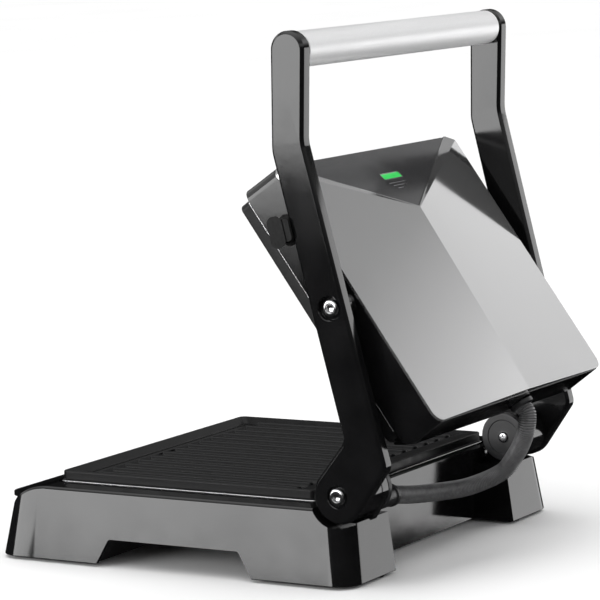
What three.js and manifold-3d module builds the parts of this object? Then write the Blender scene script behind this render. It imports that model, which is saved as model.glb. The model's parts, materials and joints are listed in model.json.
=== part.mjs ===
import * as THREE from 'three';
import { mergeVertices } from 'three/addons/utils/BufferGeometryUtils.js';
import Module from 'manifold-3d';

// Contact grill (panini press), shown open. Millimetres, +Z up.
// X runs along the hinge axis, the front of the grill faces -Y, z = 0 is the table.

const wasm = await Module();
wasm.setup();

// ---------- driving dimensions ----------
const GAP = 0.3;
const FOOT_HEIGHT = 2.5;

// hinge of the arms on the base and pivot of the lid between the arms, as [y, z]
const HINGE = [0, 67.5];
const PIVOT = [0.5, 205.3];
const OPEN_ANGLE = THREE.MathUtils.degToRad(54.8);

// base housing
const BASE_HALF_WIDTH = 158.5;
const BASE_FRONT = -308.5;
const BASE_REAR = 13;
const BASE_TOP = 58;
const BASE_CORNER = 18.5;
const BASE_DRAFT = 0.12;
const NOSE_START = -262;
const NOSE_RADIUS = 48;
const BASE_WALL = 3;
const LEG_HALF_GAP = 92.5;
const REAR_WALL = -24;
const LEG_TOP = 46.5;
const LEG_TOP_START = -21.5;
const NOTCH_RADIUS = 23.4;
const NOTCH_INSIDE = 138;
const ARCH = [[-213, -5], [-213, 2], [-201.5, 22], [-84.5, 22], [-71.5, 2], [-71.5, -5]];
const OPENING = { half: 131.5, front: -267, rear: -28.5 };
const LEDGE = { half: 120, front: -256, rear: -41, low: 48, high: 50.8 };

// drip tray
const TRAY = { half: 60, front: -296, rear: -206, low: 26, high: 41.5, wall: 1.8 };
const TRAY_RAIL = { half: 64, rear: -207, low: 22.8, high: 32 };

// grill plates
const PLATE = { half: 128, front: -263.4, rear: -32.7, top: 66.2, flange: 58.9, skirt: 54 };
const UPPER_PLATE = { half: 129.3, length: 207.4, flange: 9.2, skirt: 12.2 };
const RIB_COUNT = 14;
const RIB_PITCH = 17.4;
const RIB_WIDTH = 9;

// heating elements
const ELEMENT_RADIUS = 3.2;

// arms
const ARM_OUTSIDE = 150.3;
const ARM_THICKNESS = 11.7;
const ARM_BEVEL = 2.2;
const ARM_SPLAY = 3.8;
const HUB_RADIUS = 20.5;
const HANDLE = [-25.2, 390];
const HANDLE_END_RADIUS = 14;
const UPPER_ELBOW_Z = 324.9;
const LOWER_ELBOW_Z = 90.1;

// hinge barrels
const BARREL_RADIUS = 19.3;
const CAP = [103.8, 109];
const LUG = [109.3, 118.3];
const SOCKET_RADIUS = 3.2;
const SOCKET_DEPTH = 2.4;
const SLIDE = { half: 6.2, gripHalf: 9, front: 13, inner: 145.4, tongueOuter: 150, outer: 156.6 };
const BARREL = [118.6, 138.2];
const SHAFT_RADIUS = 4;

// lid, measured along the plate (u) and away from it (n)
const LID_PIVOT = [107, 32];
const LID_HALF = 131;
const LID_CORNER = 9;
const BOSS_RADIUS = 11;

// flexible conduit
const CONDUIT_RADIUS = 6.9;
const CONDUIT_OFFSET = [7, -9.8];
const CONDUIT_START = [84, 7.3, 57.5];
const CONDUIT_END = [-21.5, 62.9, 108.9];
const CONDUIT_PATH = [
  CONDUIT_START,
  [60, 8.5, 53],
  [28.5, 13, 49.3],
  [-7, 24, 48.4],
  [-29, 40, 57],
  [-31, 49, 68.5],
  [-25.5, 58.5, 80.5],
  [-20, 66, 94.5],
  [-21, 66.2, 104.2],
  CONDUIT_END,
];

// ---------- materials ----------
const paint = (color, roughness, metalness) => () =>
  new THREE.MeshStandardMaterial({ color, roughness, metalness });
const glossBlack = paint(0x0d0d0e, 0.16, 0);
const satinBlack = paint(0x17171a, 0.45, 0);
const coated = paint(0x1b1b1d, 0.5, 0.1);
const silver = paint(0xa7a8aa, 0.22, 0.85);
const panelGrey = paint(0x4a4a4c, 0.3, 0.3);
const brushed = paint(0xcfd0d2, 0.34, 1);
const chrome = paint(0xe6e6e6, 0.12, 1);
const steel = paint(0xb9bbbd, 0.3, 1);
const rubber = paint(0x1a1a1a, 0.85, 0);
const green = paint(0x28c840, 0.2, 0);
const dullSteel = paint(0x8b8d8f, 0.45, 1);
const conduitGrey = paint(0x4b4b4d, 0.55, 0.1);

// ---------- solids ----------
function solid(geometry) {
  const plain = geometry.clone();
  plain.deleteAttribute('normal');
  plain.deleteAttribute('uv');
  const merged = mergeVertices(plain, 1e-4);
  const mesh = new wasm.Mesh({
    numProp: 3,
    vertProperties: new Float32Array(merged.attributes.position.array),
    triVerts: new Uint32Array(merged.index.array),
  });
  return new wasm.Manifold(mesh);
}

function toGeometry(body) {
  const mesh = body.getMesh();
  const geometry = new THREE.BufferGeometry();
  geometry.setAttribute('position', new THREE.BufferAttribute(mesh.vertProperties, 3));
  geometry.setIndex(new THREE.BufferAttribute(mesh.triVerts, 1));
  const flat = geometry.toNonIndexed();
  flat.computeVertexNormals();
  return flat;
}

const outline = (points) => new THREE.Shape(points.map(([a, b]) => new THREE.Vector2(a, b)));

// A polygon in the YZ plane pushed along X from x0 to x1.
function prismX(points, x0, x1, bevel = 0, segments = 1) {
  const geometry = new THREE.ExtrudeGeometry(outline(points), {
    depth: x1 - x0 - 2 * bevel,
    bevelEnabled: bevel > 0,
    bevelThickness: bevel,
    bevelSize: bevel,
    bevelOffset: -bevel,
    bevelSegments: segments,
  });
  const turn = new THREE.Matrix4().makeBasis(
    new THREE.Vector3(0, 1, 0), new THREE.Vector3(0, 0, 1), new THREE.Vector3(1, 0, 0));
  geometry.applyMatrix4(turn);
  geometry.translate(x0 + bevel, 0, 0);
  return solid(geometry);
}

// A polygon in the XY plane pushed up from z0 to z1.
function prismZ(points, z0, z1) {
  const geometry = new THREE.ExtrudeGeometry(outline(points), { depth: z1 - z0, bevelEnabled: false });
  geometry.translate(0, 0, z0);
  return solid(geometry);
}

function box(x0, x1, y0, y1, z0, z1) {
  const geometry = new THREE.BoxGeometry(x1 - x0, y1 - y0, z1 - z0);
  geometry.translate((x0 + x1) / 2, (y0 + y1) / 2, (z0 + z1) / 2);
  return solid(geometry);
}

// A cylinder lying along X at [y, z].
function rodX([y, z], radius, x0, x1, sides = 24) {
  const geometry = new THREE.CylinderGeometry(radius, radius, x1 - x0, sides);
  geometry.rotateZ(-Math.PI / 2);
  geometry.translate((x0 + x1) / 2, y, z);
  return solid(geometry);
}

// A cylinder lying along Y at [x, z].
function rodY([x, z], radius, y0, y1, sides = 24) {
  const geometry = new THREE.CylinderGeometry(radius, radius, y1 - y0, sides);
  geometry.translate(x, (y0 + y1) / 2, z);
  return solid(geometry);
}

function rodZ(x, y, radius, z0, z1, sides = 24) {
  const geometry = new THREE.CylinderGeometry(radius, radius, z1 - z0, sides);
  geometry.rotateX(Math.PI / 2);
  geometry.translate(x, y, (z0 + z1) / 2);
  return solid(geometry);
}

function arc([cx, cy], radius, from, to, steps) {
  const points = [];
  for (let i = 0; i <= steps; i += 1) {
    const angle = THREE.MathUtils.degToRad(from + ((to - from) * i) / steps);
    points.push([cx + radius * Math.cos(angle), cy + radius * Math.sin(angle)]);
  }
  return points;
}

function roundedBox(x0, x1, y0, y1, radius, steps = 5) {
  return [
    ...arc([x1 - radius, y0 + radius], radius, -90, 0, steps),
    ...arc([x1 - radius, y1 - radius], radius, 0, 90, steps),
    ...arc([x0 + radius, y1 - radius], radius, 90, 180, steps),
    ...arc([x0 + radius, y0 + radius], radius, 180, 270, steps),
  ];
}

// Closed skin through a stack of rings with the same number of points.
function loft(rings) {
  const count = rings[0].points.length;
  const position = rings.flatMap(({ z, points }) => points.flatMap(([x, y]) => [x, y, z]));
  const index = [];
  for (let r = 0; r + 1 < rings.length; r += 1) {
    for (let i = 0; i < count; i += 1) {
      const a = r * count + i;
      const b = r * count + ((i + 1) % count);
      index.push(a, b, b + count, a, b + count, a + count);
    }
  }
  const cap = THREE.ShapeUtils.triangulateShape(
    rings[0].points.map(([x, y]) => new THREE.Vector2(x, y)), []);
  const top = (rings.length - 1) * count;
  for (const [a, b, c] of cap) {
    index.push(c, b, a, top + a, top + b, top + c);
  }
  const geometry = new THREE.BufferGeometry();
  geometry.setAttribute('position', new THREE.Float32BufferAttribute(position, 3));
  geometry.setIndex(index);
  return solid(geometry);
}

// Same outline from z0 to z1, with the hole cut through.
function frame(outer, inner, z0, z1) {
  return prismZ(outer, z0, z1).subtract(prismZ(inner, z0 - 1, z1 + 1));
}

// The body with every corner of its skin moved; a mirrored one has its faces turned out again.
function reshape(body, move, mirror = false) {
  const position = toGeometry(body).attributes.position;
  const corners = [];
  for (let i = 0; i < position.count; i += 3) {
    const order = mirror ? [i, i + 2, i + 1] : [i, i + 1, i + 2];
    for (const k of order) {
      corners.push(...move(position.getX(k), position.getY(k), position.getZ(k)));
    }
  }
  const geometry = new THREE.BufferGeometry();
  geometry.setAttribute('position', new THREE.Float32BufferAttribute(corners, 3));
  return solid(geometry);
}

const mirrored = (body) => reshape(body, (x, y, z) => [-x, y, z], true);

// A round bar along a path of points.
function bar(points, radius, steps, sides) {
  const route = points.map((point) => new THREE.Vector3(...point));
  const curve = new THREE.CatmullRomCurve3(route, false, 'centripetal');
  const circle = outline(arc([0, 0], radius, 0, 360 - 360 / sides, sides - 1));
  return new THREE.ExtrudeGeometry(circle, { steps, extrudePath: curve, bevelEnabled: false });
}

// The origin is under the middle of the whole grill.
const MIDDLE = -114.1;
const group = new THREE.Group();
group.position.y = -MIDDLE;

function add(name, body, material, parent = group) {
  const geometry = body.isBufferGeometry ? body : toGeometry(body);
  const mesh = new THREE.Mesh(geometry, material());
  mesh.name = name;
  parent.add(mesh);
  return mesh;
}

// ---------- base ----------
function baseRing(z, inset) {
  const shrink = BASE_DRAFT * (z - FOOT_HEIGHT) + inset;
  return {
    z,
    points: roundedBox(
      -BASE_HALF_WIDTH + shrink, BASE_HALF_WIDTH - shrink,
      BASE_FRONT + shrink, BASE_REAR - shrink, Math.max(BASE_CORNER - inset, 3)),
  };
}

// Everything above the rear legs, in front of them and round the arm hubs.
function baseCutaway(extra) {
  const side = BASE_HALF_WIDTH + 9;
  const rear = BASE_REAR + 9;
  const high = BASE_TOP + 9;
  const within = NOTCH_INSIDE + extra;
  const recess = box(-LEG_HALF_GAP - extra, LEG_HALF_GAP + extra, REAR_WALL - extra, rear, -5, high);
  const overLegs = box(-within, within, LEG_TOP_START - extra, rear, LEG_TOP - extra, high);
  const behindHubs = box(-side, side, -extra, rear, LEG_TOP - extra, high);
  const notch = rodX(HINGE, NOTCH_RADIUS + extra, NOTCH_INSIDE - extra, side, 36);
  return recess.add(overLegs).add(behindHubs).add(notch).add(mirrored(notch));
}

// All that lies under the deck, which bends down in a wide curve at the front.
function underNose(inset) {
  const side = BASE_HALF_WIDTH + 9;
  const bend = arc([NOSE_START, BASE_TOP - NOSE_RADIUS], NOSE_RADIUS - inset, 90, 180, 18);
  return prismX(
    [[BASE_REAR + 9, -5], [BASE_REAR + 9, BASE_TOP - inset], ...bend, [NOSE_START - NOSE_RADIUS + inset, -5]],
    -side, side);
}

function baseOuter() {
  return loft([
    baseRing(FOOT_HEIGHT, 0),
    baseRing(BASE_TOP - 3, 0),
    baseRing(BASE_TOP - 0.9, 0.9),
    baseRing(BASE_TOP, 3),
  ]).intersect(underNose(0));
}

function baseInner(gap) {
  const wall = BASE_WALL + gap;
  return loft([
    baseRing(FOOT_HEIGHT - 4, wall),
    baseRing(BASE_TOP - BASE_WALL - gap, wall),
  ]).intersect(underNose(wall)).subtract(baseCutaway(wall));
}

function hingeLug() {
  const foot = LEG_TOP - BASE_WALL / 2;
  const shape = [
    [BARREL_RADIUS * 0.42, foot],
    ...arc(HINGE, BARREL_RADIUS, -25, 205, 22),
    [-BARREL_RADIUS, foot],
  ];
  return prismX(shape, LUG[0], LUG[1]).subtract(rodX(HINGE, SHAFT_RADIUS + GAP, LUG[0] - 1, LUG[1] + 1));
}

function ledge() {
  const wall = BASE_WALL / 2;
  const outer = baseRing(LEDGE.high, wall).points;
  const inner = roundedBox(-LEDGE.half, LEDGE.half, LEDGE.front, LEDGE.rear, 6);
  return frame(outer, inner, LEDGE.low, LEDGE.high).subtract(baseCutaway(wall));
}

function trayWindow() {
  return box(
    -TRAY.half - 1, TRAY.half + 1, BASE_FRONT - 5, BASE_FRONT + 25, TRAY.low - 1, TRAY.high + 1);
}

// Shelf with two low sides that carries the drip tray.
function trayRails() {
  const { half, rear, low, high } = TRAY_RAIL;
  const front = BASE_FRONT + 7;
  const slot = TRAY.half + 0.8;
  return box(-half, half, front, rear, low, high)
    .subtract(box(-slot, slot, front - 5, rear + 5, TRAY.low - GAP, high + 5));
}

// The whole moulding: deck, side walls, rear legs and hinge lugs.
function baseMoulding() {
  const arch = prismX(ARCH, -BASE_HALF_WIDTH - 9, BASE_HALF_WIDTH + 9);
  const opening = prismZ(
    roundedBox(-OPENING.half, OPENING.half, OPENING.front, OPENING.rear, 5), LEDGE.high, BASE_TOP + 9);
  const lug = hingeLug();
  return baseOuter()
    .subtract(baseCutaway(0))
    .subtract(baseInner(0))
    .add(ledge())
    .subtract(opening)
    .subtract(arch)
    .add(trayRails())
    .subtract(trayWindow())
    .add(lug)
    .add(mirrored(lug));
}

// All in front of the step down to the rear legs.
function baseHousing() {
  const side = BASE_HALF_WIDTH + 9;
  return baseMoulding().intersect(box(-side, side, BASE_FRONT - 9, LEG_TOP_START, -5, HINGE[1] + 40));
}

// One rear leg with its hinge lug, joined to the deck moulding at the step.
function rearLeg() {
  const side = BASE_HALF_WIDTH + 9;
  return baseMoulding().intersect(box(0, side, LEG_TOP_START + GAP, BASE_REAR + 9, -5, HINGE[1] + 40));
}
add('base_housing', baseHousing(), glossBlack);
add('rear_leg_right', rearLeg(), glossBlack);
add('rear_leg_left', mirrored(rearLeg()), glossBlack);

function bottomCover() {
  const low = FOOT_HEIGHT + 0.3;
  const skin = 2.2;
  const rise = ARCH[2][1] + 1.2;
  const under = [
    [BASE_FRONT, low], [ARCH[1][0] - 2.6, low], [ARCH[2][0] - 2.6, rise],
    [ARCH[3][0] + 2.6, rise], [ARCH[4][0] + 2.6, low], [BASE_REAR, low],
  ];
  const over = under.map(([y, z]) => [y, z + skin]).reverse();
  return prismX([...under, ...over], -BASE_HALF_WIDTH, BASE_HALF_WIDTH).intersect(baseInner(GAP));
}
add('base_bottom_cover', bottomCover(), satinBlack);

function foot(x, y) {
  const profile = [[0, 0], [4.6, 0], [5.2, 0.6], [5.2, FOOT_HEIGHT], [0, FOOT_HEIGHT]];
  const geometry = new THREE.LatheGeometry(profile.map(([r, h]) => new THREE.Vector2(r, h)), 16);
  geometry.rotateX(Math.PI / 2);
  geometry.translate(x, y, 0);
  return solid(geometry);
}
const FRONT_FOOT = [120, -288];
const REAR_FOOT = [106, 4.6];
add('foot_front_right', foot(...FRONT_FOOT), rubber);
add('foot_front_left', mirrored(foot(...FRONT_FOOT)), rubber);
add('foot_rear_right', foot(...REAR_FOOT), rubber);
add('foot_rear_left', mirrored(foot(...REAR_FOOT)), rubber);

// The front of the tray follows the curve of the base.
function dripTray() {
  const { half, front, rear, low, high, wall } = TRAY;
  const tub = box(-half, half, BASE_FRONT, rear, low, high).intersect(underNose(0.5));
  const hollow = box(-half + wall, half - wall, front, rear - wall, low + wall, high + 5);
  const grip = box(-18, 18, BASE_FRONT + 0.3, front, high - 4.5, high);
  return tub.subtract(hollow).add(grip);
}
add('drip_tray', dripTray(), glossBlack);

// ---------- grill plates ----------
// Ribs from z0, where they are widest, to their crests at z1, above or below it.
function ribs(y0, y1, z0, z1) {
  const made = [];
  for (let i = 0; i < RIB_COUNT; i += 1) {
    const x = (i - (RIB_COUNT - 1) / 2) * RIB_PITCH;
    const half = RIB_WIDTH / 2;
    const low = roundedBox(x - half, x + half, y0, y1, half - 0.01, 2);
    const crest = roundedBox(x - half + 1.6, x + half - 1.6, y0 + 1.6, y1 - 1.6, half - 1.61, 2);
    const rings = [{ z: z0, points: low }, { z: z1, points: crest }];
    made.push(loft(rings.sort((a, b) => a.z - b.z)));
  }
  return made.reduce((all, rib) => all.add(rib));
}

// The sloping margin between the rib ends and the rear edge of the lower plate.
function rearMargin() {
  const { half, rear, top } = PLATE;
  return prismX(
    [[rear - 20, 50], [rear, 50], [rear, top], [rear - 3, top - 0.2], [rear - 18, top - 2], [rear - 20, top - 3]],
    -half, half);
}

function lowerPlate() {
  const { half, front, rear, top, flange, skirt } = PLATE;
  const rim = 3;
  const floor = 60.6;
  const back = 56.3;
  const outer = prismZ(roundedBox(-half, half, front, rear, 5, 3), flange, top)
    .add(prismZ(roundedBox(-half + 2, half - 2, front + 2, rear - 2, 4, 3), skirt, top - 1));
  const pocket = loft([
    { z: floor, points: roundedBox(-half + 5.5, half - 5.5, front + 7.5, rear - 5.5, 4, 3) },
    { z: top + 0.5, points: roundedBox(-half + rim, half - rim, front + rim, rear - rim, 4, 3) },
  ]).subtract(rearMargin());
  const under = box(-half + 5, half - 5, front + 5, rear - 5, skirt - 1, back);
  const channel = box(-half + 8, half - 8, front + 9.5, front + 20, floor - 1.4, floor + 1);
  const drain = prismZ(roundedBox(-9, 15, front + 11.5, front + 18, 3, 3), skirt - 2, floor + 2);
  return outer.subtract(pocket).subtract(under).subtract(channel)
    .add(ribs(front + 24.5, rear - 20, floor - 0.5, top - 1.4)).subtract(drain);
}
add('lower_grill_plate', lowerPlate(), coated);

function lowerTrim() {
  const { half, front, rear } = PLATE;
  return frame(
    roundedBox(-half - 1.2, half + 1.2, front - 1.2, rear + 1.2, 5, 3),
    roundedBox(-half + 1.7, half - 1.7, front + 1.7, rear - 1.7, 4.3, 3), 57.8, 58.6);
}
add('lower_trim_frame', lowerTrim(), chrome);

function lowerSeat() {
  const { half, front, rear } = OPENING;
  const width = 7;
  const outer = roundedBox(-half + 0.6, half - 0.6, front + 0.6, rear - 0.6, 5, 3);
  const inner = roundedBox(-half + width, half - width, front + width, rear - width, 3, 3);
  return frame(outer, inner, LEDGE.high + GAP, PLATE.skirt - GAP);
}
add('lower_seat_frame', lowerSeat(), steel);

const BEND_RADIUS = 30;
function elementPath(halfX, y0, y1, z, legEnd) {
  return [
    [-halfX, legEnd, z], [-halfX, y1 - BEND_RADIUS, z], [-halfX, y0 + BEND_RADIUS, z],
    [-halfX + BEND_RADIUS * 0.3, y0 + BEND_RADIUS * 0.3, z], [-halfX + BEND_RADIUS, y0, z],
    [halfX - BEND_RADIUS, y0, z], [halfX - BEND_RADIUS * 0.3, y0 + BEND_RADIUS * 0.3, z],
    [halfX, y0 + BEND_RADIUS, z], [halfX, y1 - BEND_RADIUS, z], [halfX, legEnd, z],
  ];
}
const LOWER_ELEMENT_Z = 52;
add('lower_heating_element',
  bar(elementPath(85, -215, -70, LOWER_ELEMENT_Z, -60), ELEMENT_RADIUS, 32, 6), dullSteel);

// A shallow sheet-metal pan with a flat lip; the pan lies on the side of the lip that floor says.
const SHEET = 0.8;
const PAN_INSET = 7;
function reflector(halfX, y0, y1, floor, lip) {
  const inset = (d) => roundedBox(-halfX + d, halfX - d, y0 + d, y1 - d, 4, 3);
  const pan = prismZ(inset(PAN_INSET), Math.min(floor, lip), Math.max(floor, lip));
  const hole = inset(PAN_INSET + SHEET);
  if (floor < lip) {
    return pan.add(prismZ(inset(0), lip - SHEET, lip)).subtract(prismZ(hole, floor + SHEET, lip + 5));
  }
  return pan.add(prismZ(inset(0), lip, lip + SHEET)).subtract(prismZ(hole, lip - 5, floor - SHEET));
}
add('lower_reflector', reflector(124, -246, -40, 47, LEDGE.high + GAP + SHEET), steel);

function thermostat() {
  return rodZ(0, -130, 12, 37, 46.7).add(box(-22, 22, -135, -125, 44.6, 46.7));
}
add('thermostat', thermostat(), satinBlack);

// ---------- arms ----------
// The arms lean apart a little above the lower elbow.
function splay(z) {
  const share = (z - LOWER_ELBOW_Z) / (UPPER_ELBOW_Z - LOWER_ELBOW_Z);
  return ARM_SPLAY * Math.min(Math.max(share, 0), 1);
}

const splayed = (body) => reshape(body, (x, y, z) => [x + splay(z), y, z]);

function armOutline() {
  const [hy, hz] = HANDLE;
  const r = HANDLE_END_RADIUS;
  return [
    ...arc([hy, hz], r, 0, 180, 14),
    [-41.8, 317.5],
    [-24.9, 245.3],
    [-9.1, 177.5],
    [6.2, 112.6], [7.1, 107.6], [5, 103],
    ...arc(HINGE, HUB_RADIUS, 141, 324, 24),
    [37.4, 84.6], [40.1, 88.8], [40.7, 94],
    [22.9, 166.7],
    [3.7, 247],
    [-14.8, UPPER_ELBOW_Z],
  ];
}

const PIVOT_FACE = ARM_OUTSIDE + splay(PIVOT[1]);
const HINGE_SCREW_SEAT = ARM_OUTSIDE - 1.8;
const PIVOT_SCREW_SEAT = PIVOT_FACE - 4.6;
const TOP_INSIDE = ARM_OUTSIDE + ARM_SPLAY - ARM_THICKNESS;
const LATCH_Z = 262;
const ALONG = new THREE.Vector2(0.2275, -0.9738);
const LATCH_AT = [-28.9, LATCH_Z];

// Turns [forward, along] distances from the latch point into [y, z].
function atLatch(forward, along) {
  return [
    LATCH_AT[0] - forward * -ALONG.y + along * ALONG.x,
    LATCH_AT[1] - forward * ALONG.x + along * ALONG.y,
  ];
}

const latchBox = (f0, f1, a0, a1) =>
  [atLatch(f0, a0), atLatch(f1, a0), atLatch(f1, a1), atLatch(f0, a1)];

function arm(withLatchSlot) {
  const inside = ARM_OUTSIDE - ARM_THICKNESS;
  let body = splayed(prismX(armOutline(), inside, ARM_OUTSIDE, ARM_BEVEL));
  body = body.subtract(rodX(HINGE, 8.3, HINGE_SCREW_SEAT, ARM_OUTSIDE + 5));
  body = body.subtract(rodX(HINGE, SHAFT_RADIUS + GAP, inside - 5, ARM_OUTSIDE + 5, 16));
  body = body.subtract(rodX(PIVOT, 9, PIVOT_SCREW_SEAT, ARM_OUTSIDE + 9));
  body = body.subtract(rodX(PIVOT, SHAFT_RADIUS + GAP, inside - 5, ARM_OUTSIDE + 5, 16));
  if (withLatchSlot) {
    body = body.subtract(prismX(latchBox(-16, 5, -6.5, 6.5), 145, 150.4));
  }
  return body;
}
add('arm_right', arm(true), glossBlack);
add('arm_left', mirrored(arm(false)), glossBlack);

function handleTube() {
  const end = TOP_INSIDE - GAP;
  return rodX(HANDLE, 13.2, -end, end, 32).subtract(rodX(HANDLE, 11.6, -end - 1, end + 1));
}
add('handle_tube', handleTube(), brushed);

function handlePlug() {
  const end = TOP_INSIDE - GAP;
  return rodX(HANDLE, 11.3, end - 16, end).subtract(rodX(HANDLE, 3.3, end - 20, end + 1, 16));
}
add('handle_plug_right', handlePlug(), satinBlack);
add('handle_plug_left', mirrored(handlePlug()), satinBlack);
add('handle_tie_rod', rodX(HANDLE, 3, -TOP_INSIDE + GAP, TOP_INSIDE - GAP, 16), steel);

function hingeBarrel() {
  return rodX(HINGE, BARREL_RADIUS, BARREL[0], BARREL[1], 32)
    .subtract(rodX(HINGE, SHAFT_RADIUS + GAP, BARREL[0] - 1, BARREL[1] + 1, 16));
}
add('hinge_barrel_right', hingeBarrel(), glossBlack);
add('hinge_barrel_left', mirrored(hingeBarrel()), glossBlack);

function hingeCap() {
  return rodX(HINGE, BARREL_RADIUS, CAP[0], CAP[1], 32)
    .subtract(rodX(HINGE, SHAFT_RADIUS + GAP, CAP[0] - 1, CAP[1] + 1, 16));
}
add('hinge_cap_right', hingeCap(), glossBlack);
add('hinge_cap_left', mirrored(hingeCap()), glossBlack);

// Button-head bolt with a hexagon socket, head outwards.
function bolt(at, radius, seat, head, end) {
  const socket = rodX(at, SOCKET_RADIUS, seat + head - SOCKET_DEPTH, seat + head + 1, 6);
  return rodX(at, radius, seat + GAP, seat + head - 1)
    .add(rodX(at, radius - 1, seat + GAP, seat + head))
    .add(rodX(at, SHAFT_RADIUS, end, seat + 1, 16))
    .subtract(socket);
}
const hingeBolt = () => bolt(HINGE, 6.5, HINGE_SCREW_SEAT, 3, CAP[0] + 1.2)
  .subtract(rodX(HINGE, 1.6, CAP[0], CAP[0] + 9, 12));
add('hinge_bolt_right', hingeBolt(), chrome);
add('hinge_bolt_left', mirrored(hingeBolt()), chrome);

// Small screw that closes the inner end of the hinge bolt.
function capScrew() {
  return rodX(HINGE, 3.6, CAP[0] - 0.8, CAP[0] + 0.9, 20).add(rodX(HINGE, 1.3, CAP[0], CAP[0] + 8, 12))
    .subtract(box(CAP[0] - 1.5, CAP[0], -0.4, 0.4, HINGE[1] - 2.4, HINGE[1] + 2.4));
}
add('hinge_end_screw_right', capScrew(), steel);
add('hinge_end_screw_left', mirrored(capScrew()), steel);

const PIVOT_BOLT_END = 124;
const pivotBolt = () => bolt(PIVOT, 6.3, PIVOT_SCREW_SEAT, 3.2, PIVOT_BOLT_END);
add('pivot_bolt_right', pivotBolt(), chrome);
add('pivot_bolt_left', mirrored(pivotBolt()), chrome);

const CONDUIT_AT_HINGE = [HINGE[0] + CONDUIT_OFFSET[0], HINGE[1] + CONDUIT_OFFSET[1]];
function conduitSleeve() {
  return rodX(CONDUIT_AT_HINGE, 7.6, 86, CAP[0] - GAP).add(rodX(CONDUIT_AT_HINGE, 8.7, 85.8, 89));
}
add('conduit_sleeve', conduitSleeve(), satinBlack);
add('flex_conduit', bar(CONDUIT_PATH, CONDUIT_RADIUS, 32, 10), conduitGrey);

// ---------- lock slide on the right arm ----------
function lockSlide() {
  const { half, inner, tongueOuter, outer } = SLIDE;
  const tongue = prismX(latchBox(-9, 5.5, -half, half), inner, tongueOuter);
  const cheek = prismX(latchBox(-1, 3.4, -half - 0.9, half + 0.9), outer - 2.9, outer, 0.8);
  const bridge = prismX(latchBox(0.4, 6.5, -half, half), inner, outer - 1.4);
  const grip = prismX(latchBox(5.4, SLIDE.front, -SLIDE.gripHalf, SLIDE.gripHalf), inner - 4.4, outer + 0.8, 2.2);
  return tongue.add(cheek).add(bridge).add(grip);
}
add('lock_slide', lockSlide(), satinBlack);

// ---------- lid ----------
const lid = new THREE.Group();
const lidTurn = new THREE.Group();
lidTurn.rotation.x = -OPEN_ANGLE;
lidTurn.position.set(0, PIVOT[0], PIVOT[1]);
lid.position.set(0, -LID_PIVOT[0], -LID_PIVOT[1]);
lidTurn.add(lid);
group.add(lidTurn);

// The roof: a ridge at the back half and a sloping triangle at the front.
const ROOF = {
  cornerFront: [123, -6, 44.4],
  edgeFront: [LID_HALF, 0, 46.6],
  edgeRear: [LID_HALF, 217, 46.2],
  apex: [0, 55.5, 57.7],
  ridgeRear: [0, 217, 52.1],
};
const PANEL_SLOPE = (ROOF.apex[2] - ROOF.cornerFront[2]) / (ROOF.apex[1] - ROOF.cornerFront[1]);
const panelHeight = (u) => ROOF.cornerFront[2] + PANEL_SLOPE * (u - ROOF.cornerFront[1]);

function roofSolid(drop) {
  const flip = ([x, u, n]) => [-x, u, n];
  const { cornerFront, edgeFront, edgeRear, apex, ridgeRear } = ROOF;
  const right = [cornerFront, edgeFront, edgeRear];
  const top = [...right, ridgeRear, ...right.toReversed().map(flip)];
  const count = top.length;
  const position = [...top, ...top.map(([x, u]) => [x, u, 30]), apex].flat();
  const peak = 2 * count;
  const index = [];
  for (let i = 0; i < count; i += 1) {
    const next = (i + 1) % count;
    index.push(i, next, peak);
    index.push(i, i + count, next + count, i, next + count, next);
  }
  for (let i = 1; i + 1 < count; i += 1) {
    index.push(count, count + i + 1, count + i);
  }
  const geometry = new THREE.BufferGeometry();
  geometry.setAttribute('position', new THREE.Float32BufferAttribute(position, 3));
  geometry.setIndex(index);
  geometry.translate(0, 0, -drop);
  return solid(geometry);
}

function coverUnderside() {
  const low = 30;
  return prismX(
    [[-20, low], [240, low], [240, 44.2], [13, 44.2], [-20, 37.1]], -LID_HALF - 9, LID_HALF + 9);
}

const PANEL_POINTS = [[0, 54.4], [-128, -9], [128, -9]];
function panelSlab(depthLow, depthHigh, points) {
  const line = (u, depth) => [u, panelHeight(u) - depth];
  const slab = prismX(
    [line(-20, depthLow), line(80, depthLow), line(80, depthHigh), line(-20, depthHigh)],
    -LID_HALF - 9, LID_HALF + 9);
  return slab.intersect(prismZ(points, 30, 80));
}

function lidCover() {
  const plan = prismZ(roundedBox(-LID_HALF - 0.3, LID_HALF + 0.3, -5.8, 216.6, LID_CORNER), 30, 70);
  const inside = prismZ(roundedBox(-LID_HALF + 3, LID_HALF - 3, -2.6, 213.6, LID_CORNER - 3), 20, 70);
  return roofSolid(0).intersect(plan)
    .subtract(roofSolid(3.4).intersect(inside))
    .subtract(coverUnderside())
    .subtract(panelSlab(2.2, -9, PANEL_POINTS));
}
add('lid_cover', lidCover(), silver, lid);

const WINDOW = { half: 13.6, center: -2.5, low: 17.4, high: 25.8 };
function windowHole(grow) {
  const { half, center, low, high } = WINDOW;
  return prismZ(
    roundedBox(center - half - grow, center + half + grow, low - grow, high + grow, 1), 30, 80);
}
function indicatorPanel() {
  const points = [[0, 53.7], [-126.2, -8.6], [126.2, -8.6]];
  return panelSlab(1.9, 0.6, points)
    .intersect(prismZ(roundedBox(-124, 124, -5.6, 70, 3), 30, 80))
    .subtract(windowHole(GAP));
}
add('indicator_panel', indicatorPanel(), panelGrey, lid);
add('indicator_lens', panelSlab(1.9, 1.1, PANEL_POINTS).intersect(windowHole(0)), green, lid);

function lidRing(n, front, rear, inset) {
  return {
    z: n,
    points: roundedBox(
      -LID_HALF + inset, LID_HALF - inset, front + inset, rear - inset, LID_CORNER - inset),
  };
}

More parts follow.
